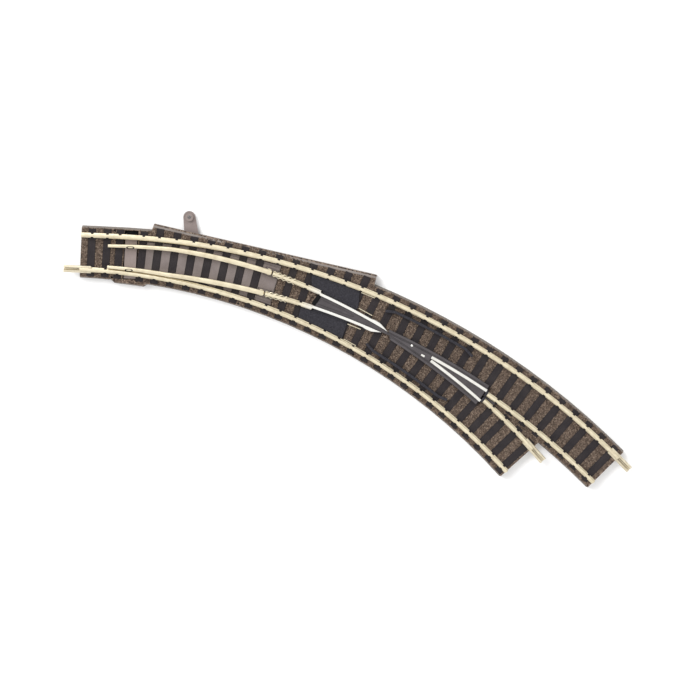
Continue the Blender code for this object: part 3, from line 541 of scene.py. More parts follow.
# under the blades' heels the slide plate leaves only the two ends of one sleeper
heelEnds = {"station": 0.0597, "inside": 0.0048}
leftEnd = onRoute(outer, heelEnds["station"], np.array([half, heelEnds["inside"]]))
rightEnd = onRoute(inner, heelEnds["station"], np.array([-heelEnds["inside"], -half]))
leftFront = onRoute(outer, np.append(frontStations, outerClosure), half)
rightFront = onRoute(inner, np.append(frontStations, innerClosure), -half)
commonLeft = np.concatenate([leftFront, leftEnd[:1], rightEnd[:1]])
commonRight = np.concatenate([rightFront, leftEnd[1:], rightEnd[1:]])


# a leg's own sleepers: from its outside end to the line midway between the legs
def legSleepers(route, other, toward, first, pitch):
    count = int((route[2] - 0.0016 - first) / pitch) + 1
    stations = first + pitch * np.arange(count)
    own = onRoute(route, stations, toward * layout["railOffset"])
    across = locate(other, own)[0]
    far = onRoute(other, across, -toward * layout["railOffset"])
    reach = np.abs(locate(route, (own + far) / 2)[1]) - 0.00025
    inside = onRoute(route, stations, toward * np.minimum(reach, half))
    outside = onRoute(route, stations, -toward * half)
    return stations, outside, inside


outerFirst, innerFirst = outerClosure[-1] + layout["outerPitch"], innerClosure[-1] + layout["innerPitch"]
outerStations, outerOutside, outerInside = legSleepers(outer, inner, -1, outerFirst, layout["outerPitch"])
_, innerOutside, innerInside = legSleepers(inner, outer, 1, innerFirst, layout["innerPitch"])
sleeperLeft = np.concatenate([commonLeft, outerOutside, innerInside])
sleeperRight = np.concatenate([commonRight, outerInside, innerOutside])
nailPlaces = np.concatenate(
    [
        onRoute(outer, [0.0102, 0.0413, 0.0692, 0.0963], 0.007),
        onRoute(inner, [0.0102, 0.0512, 0.0911], -0.007),
    ]
)


# how far out each sleeper reaches on its two sides: nearly to the bed's edge, and further on the flange
def reachedEnds(left, right, leftGoes, rightGoes):
    along = (right - left) / np.linalg.norm(right - left, axis=1, keepdims=True)
    return left - along * leftGoes[:, None], right + along * rightGoes[:, None]


flange = {"start": (0.0216, 0.0098), "end": (0.0886, 0.0109), "rim": 0.0010}
flangeStart = onRoute(outer, *flange["start"])
flangeEnd = onRoute(outer, *flange["end"])
flangeLine = (flangeEnd - flangeStart) / np.linalg.norm(flangeEnd - flangeStart)
flangeOut = np.array([-flangeLine[1], flangeLine[0]])
edgeGap = 0.00040
beyond = -((sleeperLeft - flangeStart) @ flangeOut) - flange["rim"]
stationHere, offsetHere = locate(outer, sleeperLeft)
onFlangeSleeper = (stationHere > 0.0225) & (stationHere < 0.0876) & (beyond > 0) & (offsetHere > 0.005)
leftReach = np.full(len(sleeperLeft), edgeGap)
leftReach[onFlangeSleeper] = beyond[onFlangeSleeper]
rightReach = np.full(len(sleeperLeft), edgeGap)
outerOnes = slice(len(commonLeft), len(commonLeft) + len(outerStations))
innerOnes = slice(outerOnes.stop, None)
rightReach[outerOnes] = 0.0
leftReach[innerOnes] = 0.0
sleeperLeft, sleeperRight = reachedEnds(sleeperLeft, sleeperRight, leftReach, rightReach)


# which points lie inside a sleeper's rectangle, grown by a margin
def underSleeper(points, margin):
    middle = (sleeperLeft + sleeperRight) / 2
    along = sleeperRight - sleeperLeft
    length = np.linalg.norm(along, axis=1, keepdims=True)
    along = along / length
    away = points[:, None, :] - middle[None]
    lengthwise = np.abs((away * along[None]).sum(-1))
    widthwise = np.abs(away[..., 0] * along[None, :, 1] - away[..., 1] * along[None, :, 0])
    inside = (lengthwise < length[:, 0] / 2 + margin) & (widthwise < layout["sleeperWidth"] / 2 + margin)
    return inside.any(axis=1)


sleeperValues = {"bevel": 0.00012, "grooves": 5, "grooveDepth": 0.000045, "rows": 26}


# sleeper: a flat board's section, grooved along its length, carried from one end to the other;
# every corner of the top is lowered a little, by a random share of the grooves' depth
def sleeperBoard(left, right, values):
    rows = values["rows"]
    share = np.linspace(0, 1, rows)[:, None]
    path = np.concatenate([left + (right - left) * share, np.zeros((rows, 1))], 1)
    along = (right - left) / np.linalg.norm(right - left)
    side = np.array([-along[1], along[0], 0.0])
    halfWide, low, high = layout["sleeperWidth"] / 2, layout["bedTop"] + 0.00005, layout["sleeperTop"]
    b = values["bevel"]
    across = np.linspace(-halfWide + b, halfWide - b, 2 * values["grooves"] + 1)
    top = np.stack([across[::-1], np.full(len(across), high)], -1)
    top[1::2, 1] -= values["grooveDepth"]
    bottom = [(-halfWide, low), (halfWide, low), (halfWide, high - b)]
    outline = np.concatenate([bottom, top, [(-halfWide, high - b)]])
    profile = np.repeat(outline[None], rows, 0)
    wave = dice.uniform(-1, 1, (rows, len(across)))
    wave[0] = wave[-1] = 0
    profile[:, 3:-1, 1] -= np.abs(wave) * values["grooveDepth"] * 0.9
    return carried(path, np.repeat(side[None], rows, 0), profile)


groups = {
    "toeSleepers": (slice(0, 3), "toe_sleepers"),
    "switchSleepers": (slice(3, len(commonLeft)), "switch_sleepers"),
    "outerLegSleepers": (outerOnes, "outer_leg_sleepers"),
    "innerLegSleepers": (innerOnes, "inner_leg_sleepers"),
}
for groupName, (which, nodeName) in groups.items():
    boards = [sleeperBoard(a, b, sleeperValues) for a, b in zip(sleeperLeft[which], sleeperRight[which])]
    points, faces, run = together(boards)
    mesh = newMesh(groupName, points, faces)
    finishPiece(groupName, mesh, sleeperPlastic, "roadbed", [nodeName], 25)
print("sleepers made:", len(sleeperLeft))

rails = {
    "footHalf": 0.00074,
    "footRise": 0.00022,
    "webHalf": 0.00022,
    "headHalf": 0.00044,
    "headDrop": 0.00052,
    "round": 0.00012,
    "step": 0.0012,
}


# rail outline: foot, web and head drawn up one side and mirrored down the other
def railOutline(values):
    f, w, h = values["footHalf"], values["webHalf"], values["headHalf"]
    tall = layout["railTop"] - layout["railBase"]
    under = tall - values["headDrop"]
    r = values["round"]
    rightSide = [
        (f * 0.55, 0.0),
        (f, 0.00004),
        (f, values["footRise"]),
        (w + 0.00016, values["footRise"] + 0.00012),
        (w, values["footRise"] + 0.00032),
        (w, under - 0.00016),
        (h, under),
        (h, tall - r),
        (h - r * 0.3, tall - r * 0.3),
        (h - r, tall),
        (h * 0.3, tall),
    ]
    upSide = np.array(rightSide)
    downSide = upSide[::-1] * [-1, 1]
    return np.concatenate([upSide, downSide]) + [0, layout["railBase"]]


# a running rail: its outline carried along a route at an even offset
def railAlong(name, route, start, end, offset, node):
    stations = np.linspace(start, end, max(3, int(abs(end - start) / rails["step"])))
    path = np.concatenate([onRoute(route, stations, offset), np.zeros((len(stations), 1))], 1)
    points, faces, run = carried(path, leftOf(route, stations), railOutline(rails))
    mesh = newMesh(name, points, faces, run=run)
    return finishPiece(name, mesh, railMetal, "roadbed", [node] if node else None, 32)


offset = layout["railOffset"]
railAlong("outerStockRail", outer, 0.0, outer[2], offset, "outer_stock_rail")
railAlong("innerStockRail", inner, 0.0, inner[2], -offset, "inner_stock_rail")
railAlong("outerExitRail", outer, 0.135, outer[2], -offset, "outer_exit_rail")
railAlong("innerExitRail", inner, 0.132, inner[2], offset, "inner_exit_rail")
print("running rails made")

wings = {
    "start": 0.0583,
    "thinStart": 0.0735,
    "wingStart": 0.0905,
    "wingEnd": 0.0965,
    "gaugeFace": 0.0045,
    "wide": 0.0015,
    "thin": 0.0009,
    "swell": 0.00022,
    "taper": 0.00100,
}


# left and right edges change with the station: full rail, slim crossing bar, wing with a pointed tip
def closureRail(name, route, side, node):
    w = wings
    stations = np.concatenate(
        [
            np.linspace(w["start"], w["thinStart"], 14),
            np.linspace(w["thinStart"] + 0.0002, w["wingStart"], 16),
            np.linspace(w["wingStart"] + 0.0002, w["wingEnd"], 12),
        ]
    )
    standard = railOutline(rails)
    unit = standard.copy()
    unit[:, 0] = np.sign(unit[:, 0]) * np.minimum(np.abs(unit[:, 0]) / rails["headHalf"], 1.0)
    slim = stations > w["thinStart"]
    near = np.full(len(stations), w["gaugeFace"])
    far = np.where(slim, w["gaugeFace"] + w["thin"] * 0.92, w["gaugeFace"] + w["wide"])
    wing = np.clip((stations - w["wingStart"]) / (w["wingEnd"] - w["wingStart"]), 0, 1)
    flared = w["swell"] * np.clip(wing * 5, 0, 1) - w["taper"] * np.clip((wing - 0.5) / 0.5, 0, 1)
    far = far + np.where(wing > 0, flared, 0)
    middle, halfWidth = (near + far) / 2, (far - near) / 2
    profile = np.where(slim[:, None, None], unit[None], standard[None])
    scaled = profile.copy()
    scaled[slim, :, 0] = profile[slim, :, 0] * halfWidth[slim, None]
    path = np.concatenate([onRoute(route, stations, side * middle), np.zeros((len(stations), 1))], 1)
    points, faces, run = carried(path, leftOf(route, stations), scaled)
    tone = np.repeat(np.clip((stations - 0.069) / 0.006, 0, 1), scaled.shape[1])
    mesh = newMesh(name, points, faces, tone, run)
    return finishPiece(name, mesh, railMetal, "roadbed", [node], 32)


closureRail("outerClosureRail", inner, 1, "outer_closure_rail")
closureRail("innerClosureRail", outer, -1, "inner_closure_rail")


# a bar with a softened top: width and both levels given, the edge rounded by a small bevel
def barOutline(halfWidth, low, high, soft=0.00012):
    return np.array(
        [
            (halfWidth, low),
            (halfWidth, high - soft),
            (halfWidth - soft * 0.3, high - soft * 0.3),
            (halfWidth - soft, high),
            (-halfWidth + soft, high),
            (-halfWidth + soft * 0.3, high - soft * 0.3),
            (-halfWidth, high - soft),
            (-halfWidth, low),
        ]
    )


# a bar that follows a route at one even distance to its side
def barAlong(name, route, start, end, side, away, outline, material, replaced=None):
    stations = np.linspace(start, end, max(3, int(abs(end - start) / rails["step"])))
    offsets = np.full(len(stations), side * away)
    path = np.concatenate([onRoute(route, stations, offsets), np.zeros((len(stations), 1))], 1)
    points, faces, run = carried(path, leftOf(route, stations), outline)
    mesh = newMesh(name, points, faces, run=run)
    return finishPiece(name, mesh, material, "roadbed", replaced, 32)


nose = {"offset": 0.00445, "half": 0.00045, "floor": 0.00445}
noseOutline = barOutline(nose["half"], nose["floor"], layout["railTop"])
for noseName, route, start, end, side, nodeName in (
    ("outerNoseRail", outer, 0.114, 0.1342, -1, "outer_nose_rail"),
    ("innerNoseRail", inner, 0.1122, 0.1312, 1, "inner_nose_rail"),
):
    away, finish = nose["offset"], crossingMetal
    barAlong(noseName, route, start, end, side, away, noseOutline, finish, [nodeName])
print("crossing rails made")

blades = {
    "toe": 0.0084,
    "heel": 0.057,
    "tail": 0.0007,
    "toeWidth": 0.0009,
    "width": 0.0015,
    "full": 0.040,
    "play": 0.0001,
    "drop": 0.00012,
    "soft": 0.00016,
    "throw": 0.0014,
    "tieX": 0.01525,
    "rows": 60,
}
heelEye = [(0, 0), (0.00095, 0), (0.00095, 0.0004), (0.0008, 0.00046), (0, 0.00046)]


# a closed blade's back follows its stock rail until it reaches its own full offset;
# its width grows evenly from the toe; the open blade is that shape turned about its heel
def bladeShape(route, side, opened):
    b = blades
    end = b["heel"] + b["tail"]
    stations = np.linspace(b["toe"], end, b["rows"])
    outside = np.maximum(0.0, stations - layout["outerLead"])
    spread = stations**2 / (2 * layout["innerRadius"]) - outside**2 / (2 * layout["outerRadius"])
    grown = np.clip((stations - b["toe"]) / (b["full"] - b["toe"]), 0, 1)
    width = b["toeWidth"] + (b["width"] - b["toeWidth"]) * grown
    back = np.minimum(wings["gaugeFace"] + width, wings["gaugeFace"] + spread - b["play"])
    middle = back - width / 2
    unit = barOutline(1.0, 0.0, 1.0, 0.0)
    inward = np.array([0, 0, -0.3, -1.0, 1.0, 0.3, 0, 0]) * b["soft"]
    down = np.array([0, 1.0, 0.301, 0, 0, 0.301, 1.0, 0]) * b["soft"]
    top = layout["railTop"] - b["drop"]
    heights = layout["railBase"] + unit[:, 1] * (top - layout["railBase"]) - down
    sideways = unit[None, :, 0] * width[:, None] / 2 + inward[None]
    profile = np.stack([sideways, np.broadcast_to(heights, sideways.shape)], -1)
    path = np.concatenate([onRoute(route, stations, side * middle), np.zeros((b["rows"], 1))], 1)
    points, faces, run = carried(path, leftOf(route, stations), profile)
    pivot = onRoute(route, b["heel"], side * offset)
    angle = b["throw"] / (pivot[0] - toeCorner[0] - b["tieX"]) if opened else 0.0
    away = points[:, :2] - pivot
    c, s = math.cos(angle), math.sin(angle)
    points[:, :2] = pivot + np.stack([away[:, 0] * c - away[:, 1] * s, away[:, 0] * s + away[:, 1] * c], -1)
    return (points, faces, run), pivot


for bladeName, route, side, opened, bodyName in (
    ("outerBladeRail", inner, 1, True, "outer_blade"),
    ("innerBladeRail", outer, -1, False, "inner_blade"),
):
    shape, pivot = bladeShape(route, side, opened)
    eyePoints, eyeFaces = latheShape(heelEye)
    eyePoints = eyePoints + [pivot[0], pivot[1], layout["railBase"]]
    eye = (eyePoints, eyeFaces.tolist(), eyePoints)
    points, faces, run = together([shape, eye])
    mesh = newMesh(bladeName, points, faces, run=run)
    finishPiece(bladeName, mesh, railMetal, bodyName, [bodyName], 32)
print("blades made")

stones = {"try": 90000, "sizeLow": 0.00021, "sizeHigh": 0.00036, "edge": 0.00745, "gap": 0.30}
# stations between which the bed bulges, and between which other pieces lie on it
spans = {
    "bulge": (0.0114, 0.0204),
    "recess": (0.0174, 0.0614),
    "panels": (0.0700, 0.0859),
    "crossing": (0.0716, 0.0995),
    "throat": (0.0985, 0.1345),
}
# how far those places reach sideways, and the stones' distance from the flange's ends
reaches = {"bulge": 0.0083, "recess": 0.0047, "panels": 0.0062, "crossing": 0.006, "throat": 0.0026}
reaches.update({"trough": 0.0024, "troughSide": 0.0075, "nail": 0.00062, "flangeEnd": 0.0008})


# true where a value lies between a span's two ends
def within(value, span):
    return (value > span[0]) & (value < span[1])


# a spot is free where it lies on the bed and on none of the pieces that cover it
def freeOfPieces(points):
    so, do = locate(outer, points)
    si, di = locate(inner, points)
    onOuter = (np.abs(do) < stones["edge"]) & (so > 0.0003) & (so < outer[2] - 0.0006)
    onInner = (np.abs(di) < stones["edge"]) & (si > 0.0003) & (si < inner[2] - 0.0004)
    away = points - flangeStart
    along = away @ flangeLine
    length = np.linalg.norm(flangeEnd - flangeStart)
    inFlange = within(along, (reaches["flangeEnd"], length - reaches["flangeEnd"]))
    onFlange = (do > 0) & inFlange & (away @ flangeOut < -flange["rim"] - 0.0001)
    onBulge = within(di, (-reaches["bulge"], 0)) & within(si, spans["bulge"])
    bed = onOuter | onInner | onFlange | onBulge
    recess = (do < reaches["recess"]) & (di > -reaches["recess"]) & within(so, spans["recess"])
    besideTie = np.abs(points[:, 0] - toeCorner[0] - blades["tieX"]) < reaches["trough"]
    trough = besideTie & (so < 0.03) & (do < reaches["troughSide"])
    outerPanel = within(so, spans["panels"]) & (np.abs(do) < reaches["panels"])
    innerPanel = within(si, spans["panels"]) & (np.abs(di) < reaches["panels"]) & (so < spans["panels"][1])
    wide = reaches["crossing"]
    crossing = within(so, spans["crossing"]) & within(di, (0.0, wide)) & within(do, (-wide, 0.0))
    throat = within(so, spans["throat"]) & (do < -reaches["throat"]) & (di > reaches["throat"])
    nails = np.linalg.norm(points[:, None, :] - nailPlaces[None], axis=-1).min(axis=1) < reaches["nail"]
    covered = nails | recess | trough | outerPanel | innerPanel | crossing | throat
    return bed & ~covered & ~underSleeper(points, 0.0001)


golden = (1 + math.sqrt(5)) / 2
icoPoints = np.array(
    [(-1, golden, 0), (1, golden, 0), (-1, -golden, 0), (1, -golden, 0), (0, -1, golden), (0, 1, golden),
     (0, -1, -golden), (0, 1, -golden), (golden, 0, -1), (golden, 0, 1), (-golden, 0, -1), (-golden, 0, 1)]
) / math.hypot(1, golden)
icoFaces = np.array(
    [(0, 11, 5), (0, 5, 1), (0, 1, 7), (0, 7, 10), (0, 10, 11),
     (1, 5, 9), (5, 11, 4), (11, 10, 2), (10, 7, 6), (7, 1, 8),
     (3, 9, 4), (3, 4, 2), (3, 2, 6), (3, 6, 8), (3, 8, 9),
     (4, 9, 5), (2, 4, 11), (6, 2, 10), (8, 6, 7), (9, 8, 1)]
)


# stones: an icosahedron with each corner pushed in or out by its own share, squashed and turned at random;
# a candidate is kept where no earlier stone of the same small square stands
def scatterStones(name, lowX, highX):
    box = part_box("ballast_bed")
    spots = dice.uniform((lowX, box[0].y), (highX, box[1].y), (stones["try"], 2))
    spots = spots[freeOfPieces(spots)]
    square = np.floor(spots / (stones["gap"] * mm)).astype(np.int64)
    keep = np.unique(square[:, 0] * 100003 + square[:, 1], return_index=True)[1]
    spots = spots[np.sort(keep)]
    count = len(spots)
    sizes = dice.uniform(stones["sizeLow"], stones["sizeHigh"], (count, 1))
    sizes = sizes * dice.uniform(0.8, 1.15, (count, 3))
    heights = layout["bedTop"] + 0.00040 - sizes.max(axis=1) + dice.uniform(-0.00009, 0.0, count)
    places = np.concatenate([spots, heights[:, None]], 1)
    turn = turnedFlat(dice.uniform(0, 2 * math.pi, count))
    lean = turnedFlat(dice.uniform(0, 2 * math.pi, count))[:, [1, 2, 0]][:, :, [1, 2, 0]]
    bumps = icoPoints[None] * dice.uniform(0.8, 1.12, (count, 12, 1))
    points, faces = scattered(bumps, icoFaces, places, turn @ lean, sizes)
    tone = np.repeat(dice.beta(1.6, 1.9, count), 12)
    mesh = newMesh(name, points, faces.tolist(), tone)
    print(name, count, "stones")
    return finishPiece(name, mesh, ballastStone, "roadbed", None, 20)


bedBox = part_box("ballast_bed")
cutPlaces = np.linspace(bedBox[0].x, bedBox[1].x, 4)
scatterStones("ballastStonesToe", cutPlaces[0], cutPlaces[1])
scatterStones("ballastStonesMiddle", cutPlaces[1], cutPlaces[2])
scatterStones("ballastStonesLegs", cutPlaces[2], cutPlaces[3])

chairs = {"half": 0.00062, "reach": 0.00066, "from": 0.00040, "high": 0.00068}


# where a rail crosses each sleeper: the share of the sleeper's length at which the offset matches
def crossings(route, railOffset, low, high):
    found = []
    share = np.linspace(0, 1, 200)
    for left, right in zip(sleeperLeft, sleeperRight):
        line = left + (right - left) * share[:, None]
        station, off = locate(route, line)
        order = np.argsort(off)
        if off.min() < railOffset < off.max():
            at = np.interp(railOffset, off[order], share[order])
            point = left + (right - left) * at
            here = float(locate(route, point)[0])
            if low < here < high:
                found.append((here, *point))
    return np.array(sorted(found)).reshape(-1, 3)


# chair: three stacked rings, wide at the sleeper and narrow where it grips the foot
def chairShape(values):
    a, r0, r1, h = values["half"], values["from"], values["from"] + values["reach"], values["high"]
    base = layout["sleeperTop"] - 0.00005
    levels = [
        (1.0, 1.0, base),
        (1.0, 1.0, base + h * 0.36),
        (0.62, 0.72, base + h * 0.55),
        (0.5, 0.5, base + h),
    ]
    nearCorners = [(-1, 0.0), (-0.7, 0.0), (0.7, 0.0), (1, 0.0)]
    corners = np.array(nearCorners + [(1, 0.8), (0.75, 1.0), (-0.75, 1.0), (-1, 0.8)])
    rings = []
    for wide, deep, level in levels:
        across, out = corners[:, 0] * a * wide, r0 + corners[:, 1] * (r1 - r0) * deep
        rings.append(np.stack([across, out, np.full(8, level)], -1))
    points = np.concatenate(rings)
    k = np.arange(8)
    n = (k + 1) % 8
    faces = [np.stack([lv * 8 + k, lv * 8 + n, (lv + 1) * 8 + n], -1) for lv in range(3)]
    faces += [np.stack([lv * 8 + k, (lv + 1) * 8 + n, (lv + 1) * 8 + k], -1) for lv in range(3)]
    fan = np.arange(1, 7)
    faces.append(np.stack([np.zeros(6, int), fan + 1, fan], -1))
    faces.append(np.stack([np.full(6, 24), 24 + fan, 24 + fan + 1], -1))
    return points, np.concatenate(faces)


chairPoints, chairFaces = chairShape(chairs)
chairSpots = []
for route, railOffset, low, high, bladeSide in (
    (outer, offset, 0.0, outer[2] - 0.004, -1),
    (inner, -offset, 0.0045, inner[2], 1),
    (inner, offset, 0.064, 0.0725, 0),
    (outer, -offset, 0.064, 0.0725, 0),
    (inner, offset, 0.1325, inner[2] - 0.004, 0),
    (outer, -offset, 0.1355, outer[2], 0),
):
    for here, x, y in crossings(route, railOffset, low, high):
        for side in (-1, 1):
            if bladeSide == side and 0.010 < here < 0.050:
                continue
            angle = -float(bendAt(route, here)) + (math.pi if side < 0 else 0.0)
            chairSpots.append((x, y, angle))
chairSpots = np.array(chairSpots)
points, faces = scattered(
    chairPoints,
    chairFaces,
    np.concatenate([chairSpots[:, :2], np.zeros((len(chairSpots), 1))], 1),
    turnedFlat(chairSpots[:, 2]),
    np.ones((len(chairSpots), 3)),
)
mesh = newMesh("railChairs", points, faces.tolist())
finishPiece("railChairs", mesh, sleeperPlastic, "roadbed", None, 25)
print("chairs made:", len(chairSpots))

# heel clamps: crimped cheeks on both sides of the closure rail's first stretch
clamps = {
    "start": 0.0586,
    "end": 0.0652,
    "inside": 0.00076,
    "thick": 0.00020,
    "low": 0.00405,
    "top": 0.00548,
    "crimp": 0.00034,
    "waves": 4,
    "rows": 48,
}


# cheek: a thin upright strip; it closes in on the rail's web by a row of even waves
def clampCheek(route, railOffset, side):
    c = clamps
    stations = np.linspace(c["start"], c["end"], c["rows"])
    share = (stations - c["start"]) / (c["end"] - c["start"])
    pinch = c["crimp"] * (0.5 - 0.5 * np.cos(2 * math.pi * share * c["waves"]))
    near = c["inside"] - pinch
    far = near + c["thick"]
    outline = ((far, c["low"]), (far, c["top"]), (near, c["top"] + 0.00006), (near, c["low"]))
    rows = np.stack([np.stack([edge, np.full(c["rows"], level)], -1) for edge, level in outline], 1)
    rows[:, [0, 3], 0] = rows[:, [0, 3], 0] + pinch[:, None] * 0.6
    path = np.concatenate([onRoute(route, stations, railOffset), np.zeros((c["rows"], 1))], 1)
    if side < 0:
        rows = rows[:, ::-1] * [-1, 1]
    return carried(path, leftOf(route, stations), rows)


for clampName, route, railOffset in (("outerHeelClamp", inner, offset), ("innerHeelClamp", outer, -offset)):
    points, faces, run = together([clampCheek(route, railOffset, 1), clampCheek(route, railOffset, -1)])
    mesh = newMesh(clampName, points, faces, run=run)
    finishPiece(clampName, mesh, joinerMetal, "roadbed", None, 32)

# rail joiners: folded sheet with rolled lips, a pressed groove and flared mouth
joiners = {
    "long": 0.0084,
    "out": 0.0050,
    "wide": 0.00112,
    "sheet": 0.00018,
    "low": 0.00338,
    "high": 0.00452,
    "lip": 0.00040,
    "round": 0.00022,
    "rows": 22,
}


# channel: the sheet's centre line is a rounded square open at the top;
# the outline is that line pushed out and in by half the sheet's thickness
def joinerChannel(route, station, railOffset, outward):
    j = joiners
    w, low, high = j["wide"] - j["sheet"] / 2, j["low"] + j["sheet"] / 2, j["high"] - j["sheet"] / 2
    r = j["round"]
    turn = np.linspace(0, math.pi / 2, 5)
    lower = np.stack([w - r + r * np.sin(turn), low + r - r * np.cos(turn)], -1)
    upper = np.stack([w - r + r * np.cos(turn), high - r + r * np.sin(turn)], -1)
    groove = np.array([(0.0, low + 0.00010), (0.00018, low + 0.00007), (0.00032, low)])
    line = np.concatenate([groove, lower, upper, [(j["lip"], high)]])
    line = np.concatenate([line[:0:-1] * [-1, 1], line])
    away = np.gradient(line, axis=0)
    away = np.stack([away[:, 1], -away[:, 0]], -1) / np.linalg.norm(away, axis=1, keepdims=True)
    outline = np.concatenate([line + away * j["sheet"] / 2, (line - away * j["sheet"] / 2)[::-1]])
    share = np.linspace(0, 1, j["rows"])
    flare = 1 + 0.05 * np.clip((share - 0.88) / 0.12, 0, 1) - 0.04 * np.exp(-(((share - 0.5) / 0.09) ** 2))
    bend = float(bendAt(route, station))
    heading = np.array([math.cos(bend), -math.sin(bend)]) * outward
    end = onRoute(route, station, railOffset)
    path = end + heading * (-(j["long"] - j["out"]) + share[:, None] * j["long"])
    path = np.concatenate([path, np.zeros((j["rows"], 1))], 1)
    side = np.array([-heading[1], heading[0], 0.0])
    profile = np.repeat(outline[None], j["rows"], 0)
    profile[..., 0] *= np.minimum(flare, 1.02)[:, None]
    return carried(path, np.repeat(side[None], j["rows"], 0), profile)


for joinerName, route, station, railOffset, outward, nodeName in (
    ("toeJoiner", inner, 0.0, -offset, -1, "toe_joiner"),
    ("innerLegJoiner", inner, inner[2], offset, 1, "inner_leg_joiner"),
    ("outerLegJoiner", outer, outer[2], offset, 1, "outer_leg_joiner"),
):
    points, faces, run = joinerChannel(route, station, railOffset, outward)
    mesh = newMesh(joinerName, points, faces, run=run)
    finishPiece(joinerName, mesh, joinerMetal, "roadbed", [nodeName], 40)
print("clamps and joiners made")

trim = {"nailRing": 0.00052, "ringWire": 0.00010, "strip": 0.00014}


# nail ring: a circle carried round a larger circle, lying flat round each nail hole
def ringShape(radius, wire, sides=20, around=8):
    u = np.arange(sides) * 2 * math.pi / sides
    v = np.arange(around) * 2 * math.pi / around
    reach = radius + wire * np.cos(v)[None]
    height = np.broadcast_to(wire * np.sin(v), (sides, around))
    points = np.stack([reach * np.cos(u)[:, None], reach * np.sin(u)[:, None], height], -1)
    i, j = np.meshgrid(np.arange(sides), np.arange(around), indexing="ij")
    ni, nj = (i + 1) % sides, (j + 1) % around
    quads = np.stack([i * around + j, ni * around + j, ni * around + nj, i * around + nj], -1).reshape(-1, 4)
    return points.reshape(-1, 3), quads


ringPoints, ringFaces = ringShape(trim["nailRing"], trim["ringWire"])
ringPlaces = np.concatenate([nailPlaces, np.full((len(nailPlaces), 1), layout["bedTop"] + 0.00006)], 1)
count = len(ringPlaces)
points, faces = scattered(ringPoints, ringFaces, ringPlaces, turnedFlat(np.zeros(count)), np.ones((count, 3)))
mesh = newMesh("nailRings", points, faces.tolist())
finishPiece("nailRings", mesh, ballastBed, "roadbed", None, 40)

# rivet and feed tab on the crossing: a turned dome, and a small bar that follows the leg
rivet = {"station": 0.1069, "aside": -0.0041, "height": 0.00532}
rivetProfile = [(0, 0), (0.00034, 0), (0.00034, 0.00008), (0.00024, 0.00014), (0, 0.00016)]
rivetPoints, rivetFaces = latheShape(rivetProfile, 24)
rivetPoints = rivetPoints + [*onRoute(outer, rivet["station"], rivet["aside"]), rivet["height"]]
mesh = newMesh("crossingRivet", rivetPoints, rivetFaces.tolist(), run=rivetPoints)
finishPiece("crossingRivet", mesh, crossingMetal, "roadbed", None, 40)
tabOutline = barOutline(0.0003, 0.0052, 0.00548, 0.00006)
barAlong("crossingTab", outer, 0.1108, 0.1120, -1, 0.00525, tabOutline, crossingMetal)

# bright foot strips beside the rails before the crossing
stripOutline = barOutline(trim["strip"], 0.00368, 0.00412, 0.00005)
for stripName, route, start, end, side, along in (
    ("footStripOne", inner, 0.0858, 0.0903, 1, 0.00625),
    ("footStripTwo", outer, 0.0858, 0.0903, -1, 0.00625),
    ("footStripThree", outer, 0.0862, 0.0905, 1, 0.00425),
    ("footStripFour", inner, 0.0862, 0.0905, -1, 0.00425),
):
    barAlong(stripName, route, start, end, side, along, stripOutline, joinerMetal)

# smooth rim: it covers the flange's sloped shoulder and folds over onto its top, in a paler plastic that is a
# painted highlight for the lit shoulder
rim = {"inset": 0.0005, "rise": 0.00016, "wide": 0.0010, "thick": 0.00012}
rimEnds = np.array([flangeStart + flangeLine * 0.0001, flangeEnd - flangeLine * 0.0001])
rimPath = rimEnds[0] + (rimEnds[1] - rimEnds[0]) * np.linspace(0, 1, 24)[:, None]
rimPath = np.concatenate([rimPath, np.zeros((24, 1))], 1)
deck = layout["bedTop"]
rimOutline = np.array(
    [
        (0.00004, 0.0002),
        (rim["thick"] - rim["inset"], deck + rim["rise"] * 0.5),
        (-rim["inset"], deck + rim["rise"]),
        (-rim["wide"], deck + rim["rise"]),
        (-rim["wide"] - 0.00006, deck + rim["rise"] * 0.4),
        (-rim["wide"] - 0.00006, deck - 0.0001),
        (-rim["inset"] - 0.0001, deck - 0.0001),
        (-rim["thick"], 0.0002),
    ]
)
points, faces, run = carried(rimPath, np.repeat([[*flangeOut, 0.0]], 24, 0), rimOutline)
mesh = newMesh("flangeShoulderHighlight", points, faces, run=run)
finishPiece("flangeShoulderHighlight", mesh, rimPaintedHighlight, "roadbed", None, 32)


# a straight bar from one point to another, level all the way
def barBetween(name, start, end, outline, material, slotName):
    path = np.array([[*start, 0.0], [*end, 0.0]])
    along = (path[1] - path[0]) / np.linalg.norm(path[1] - path[0])
    left = np.repeat([[-along[1], along[0], 0.0]], 2, 0)
    points, faces, run = carried(path, left, outline)
    return finishPiece(name, newMesh(name, points, faces, run=run), material, "roadbed", None, 32)


# near-black pieces painted as shade: a painted shadow filling the gap before the crossing plate, and a
# painted shadow on the floor of the tie bar's trough
pit = {"station": 0.0736, "inside": 0.0043, "half": 0.00062, "top": 0.0050}
pitEnds = (onRoute(inner, pit["station"], pit["inside"]), onRoute(outer, pit["station"], -pit["inside"]))
pitOutline = barOutline(pit["half"], 0.0033, pit["top"], 0.00005)
barBetween("crossingPitShade", *pitEnds, pitOutline, paintedShadeBlack, "dark_plastic")
# painted shadow: a near-black sheet on the trough's floor where the rail's shadow falls
trough = {"x": 0.01525, "from": 0.00612, "to": 0.0072, "half": 0.0021, "floor": 0.002115, "thick": 0.00007}
troughEnds = [toeCorner + [trough["x"], trough[end]] for end in ("from", "to")]
troughOutline = barOutline(trough["half"], trough["floor"], trough["floor"] + trough["thick"], 0.00002)
barBetween("troughFloorShadow", *troughEnds, troughOutline, paintedShadeBlack, "dark_plastic")

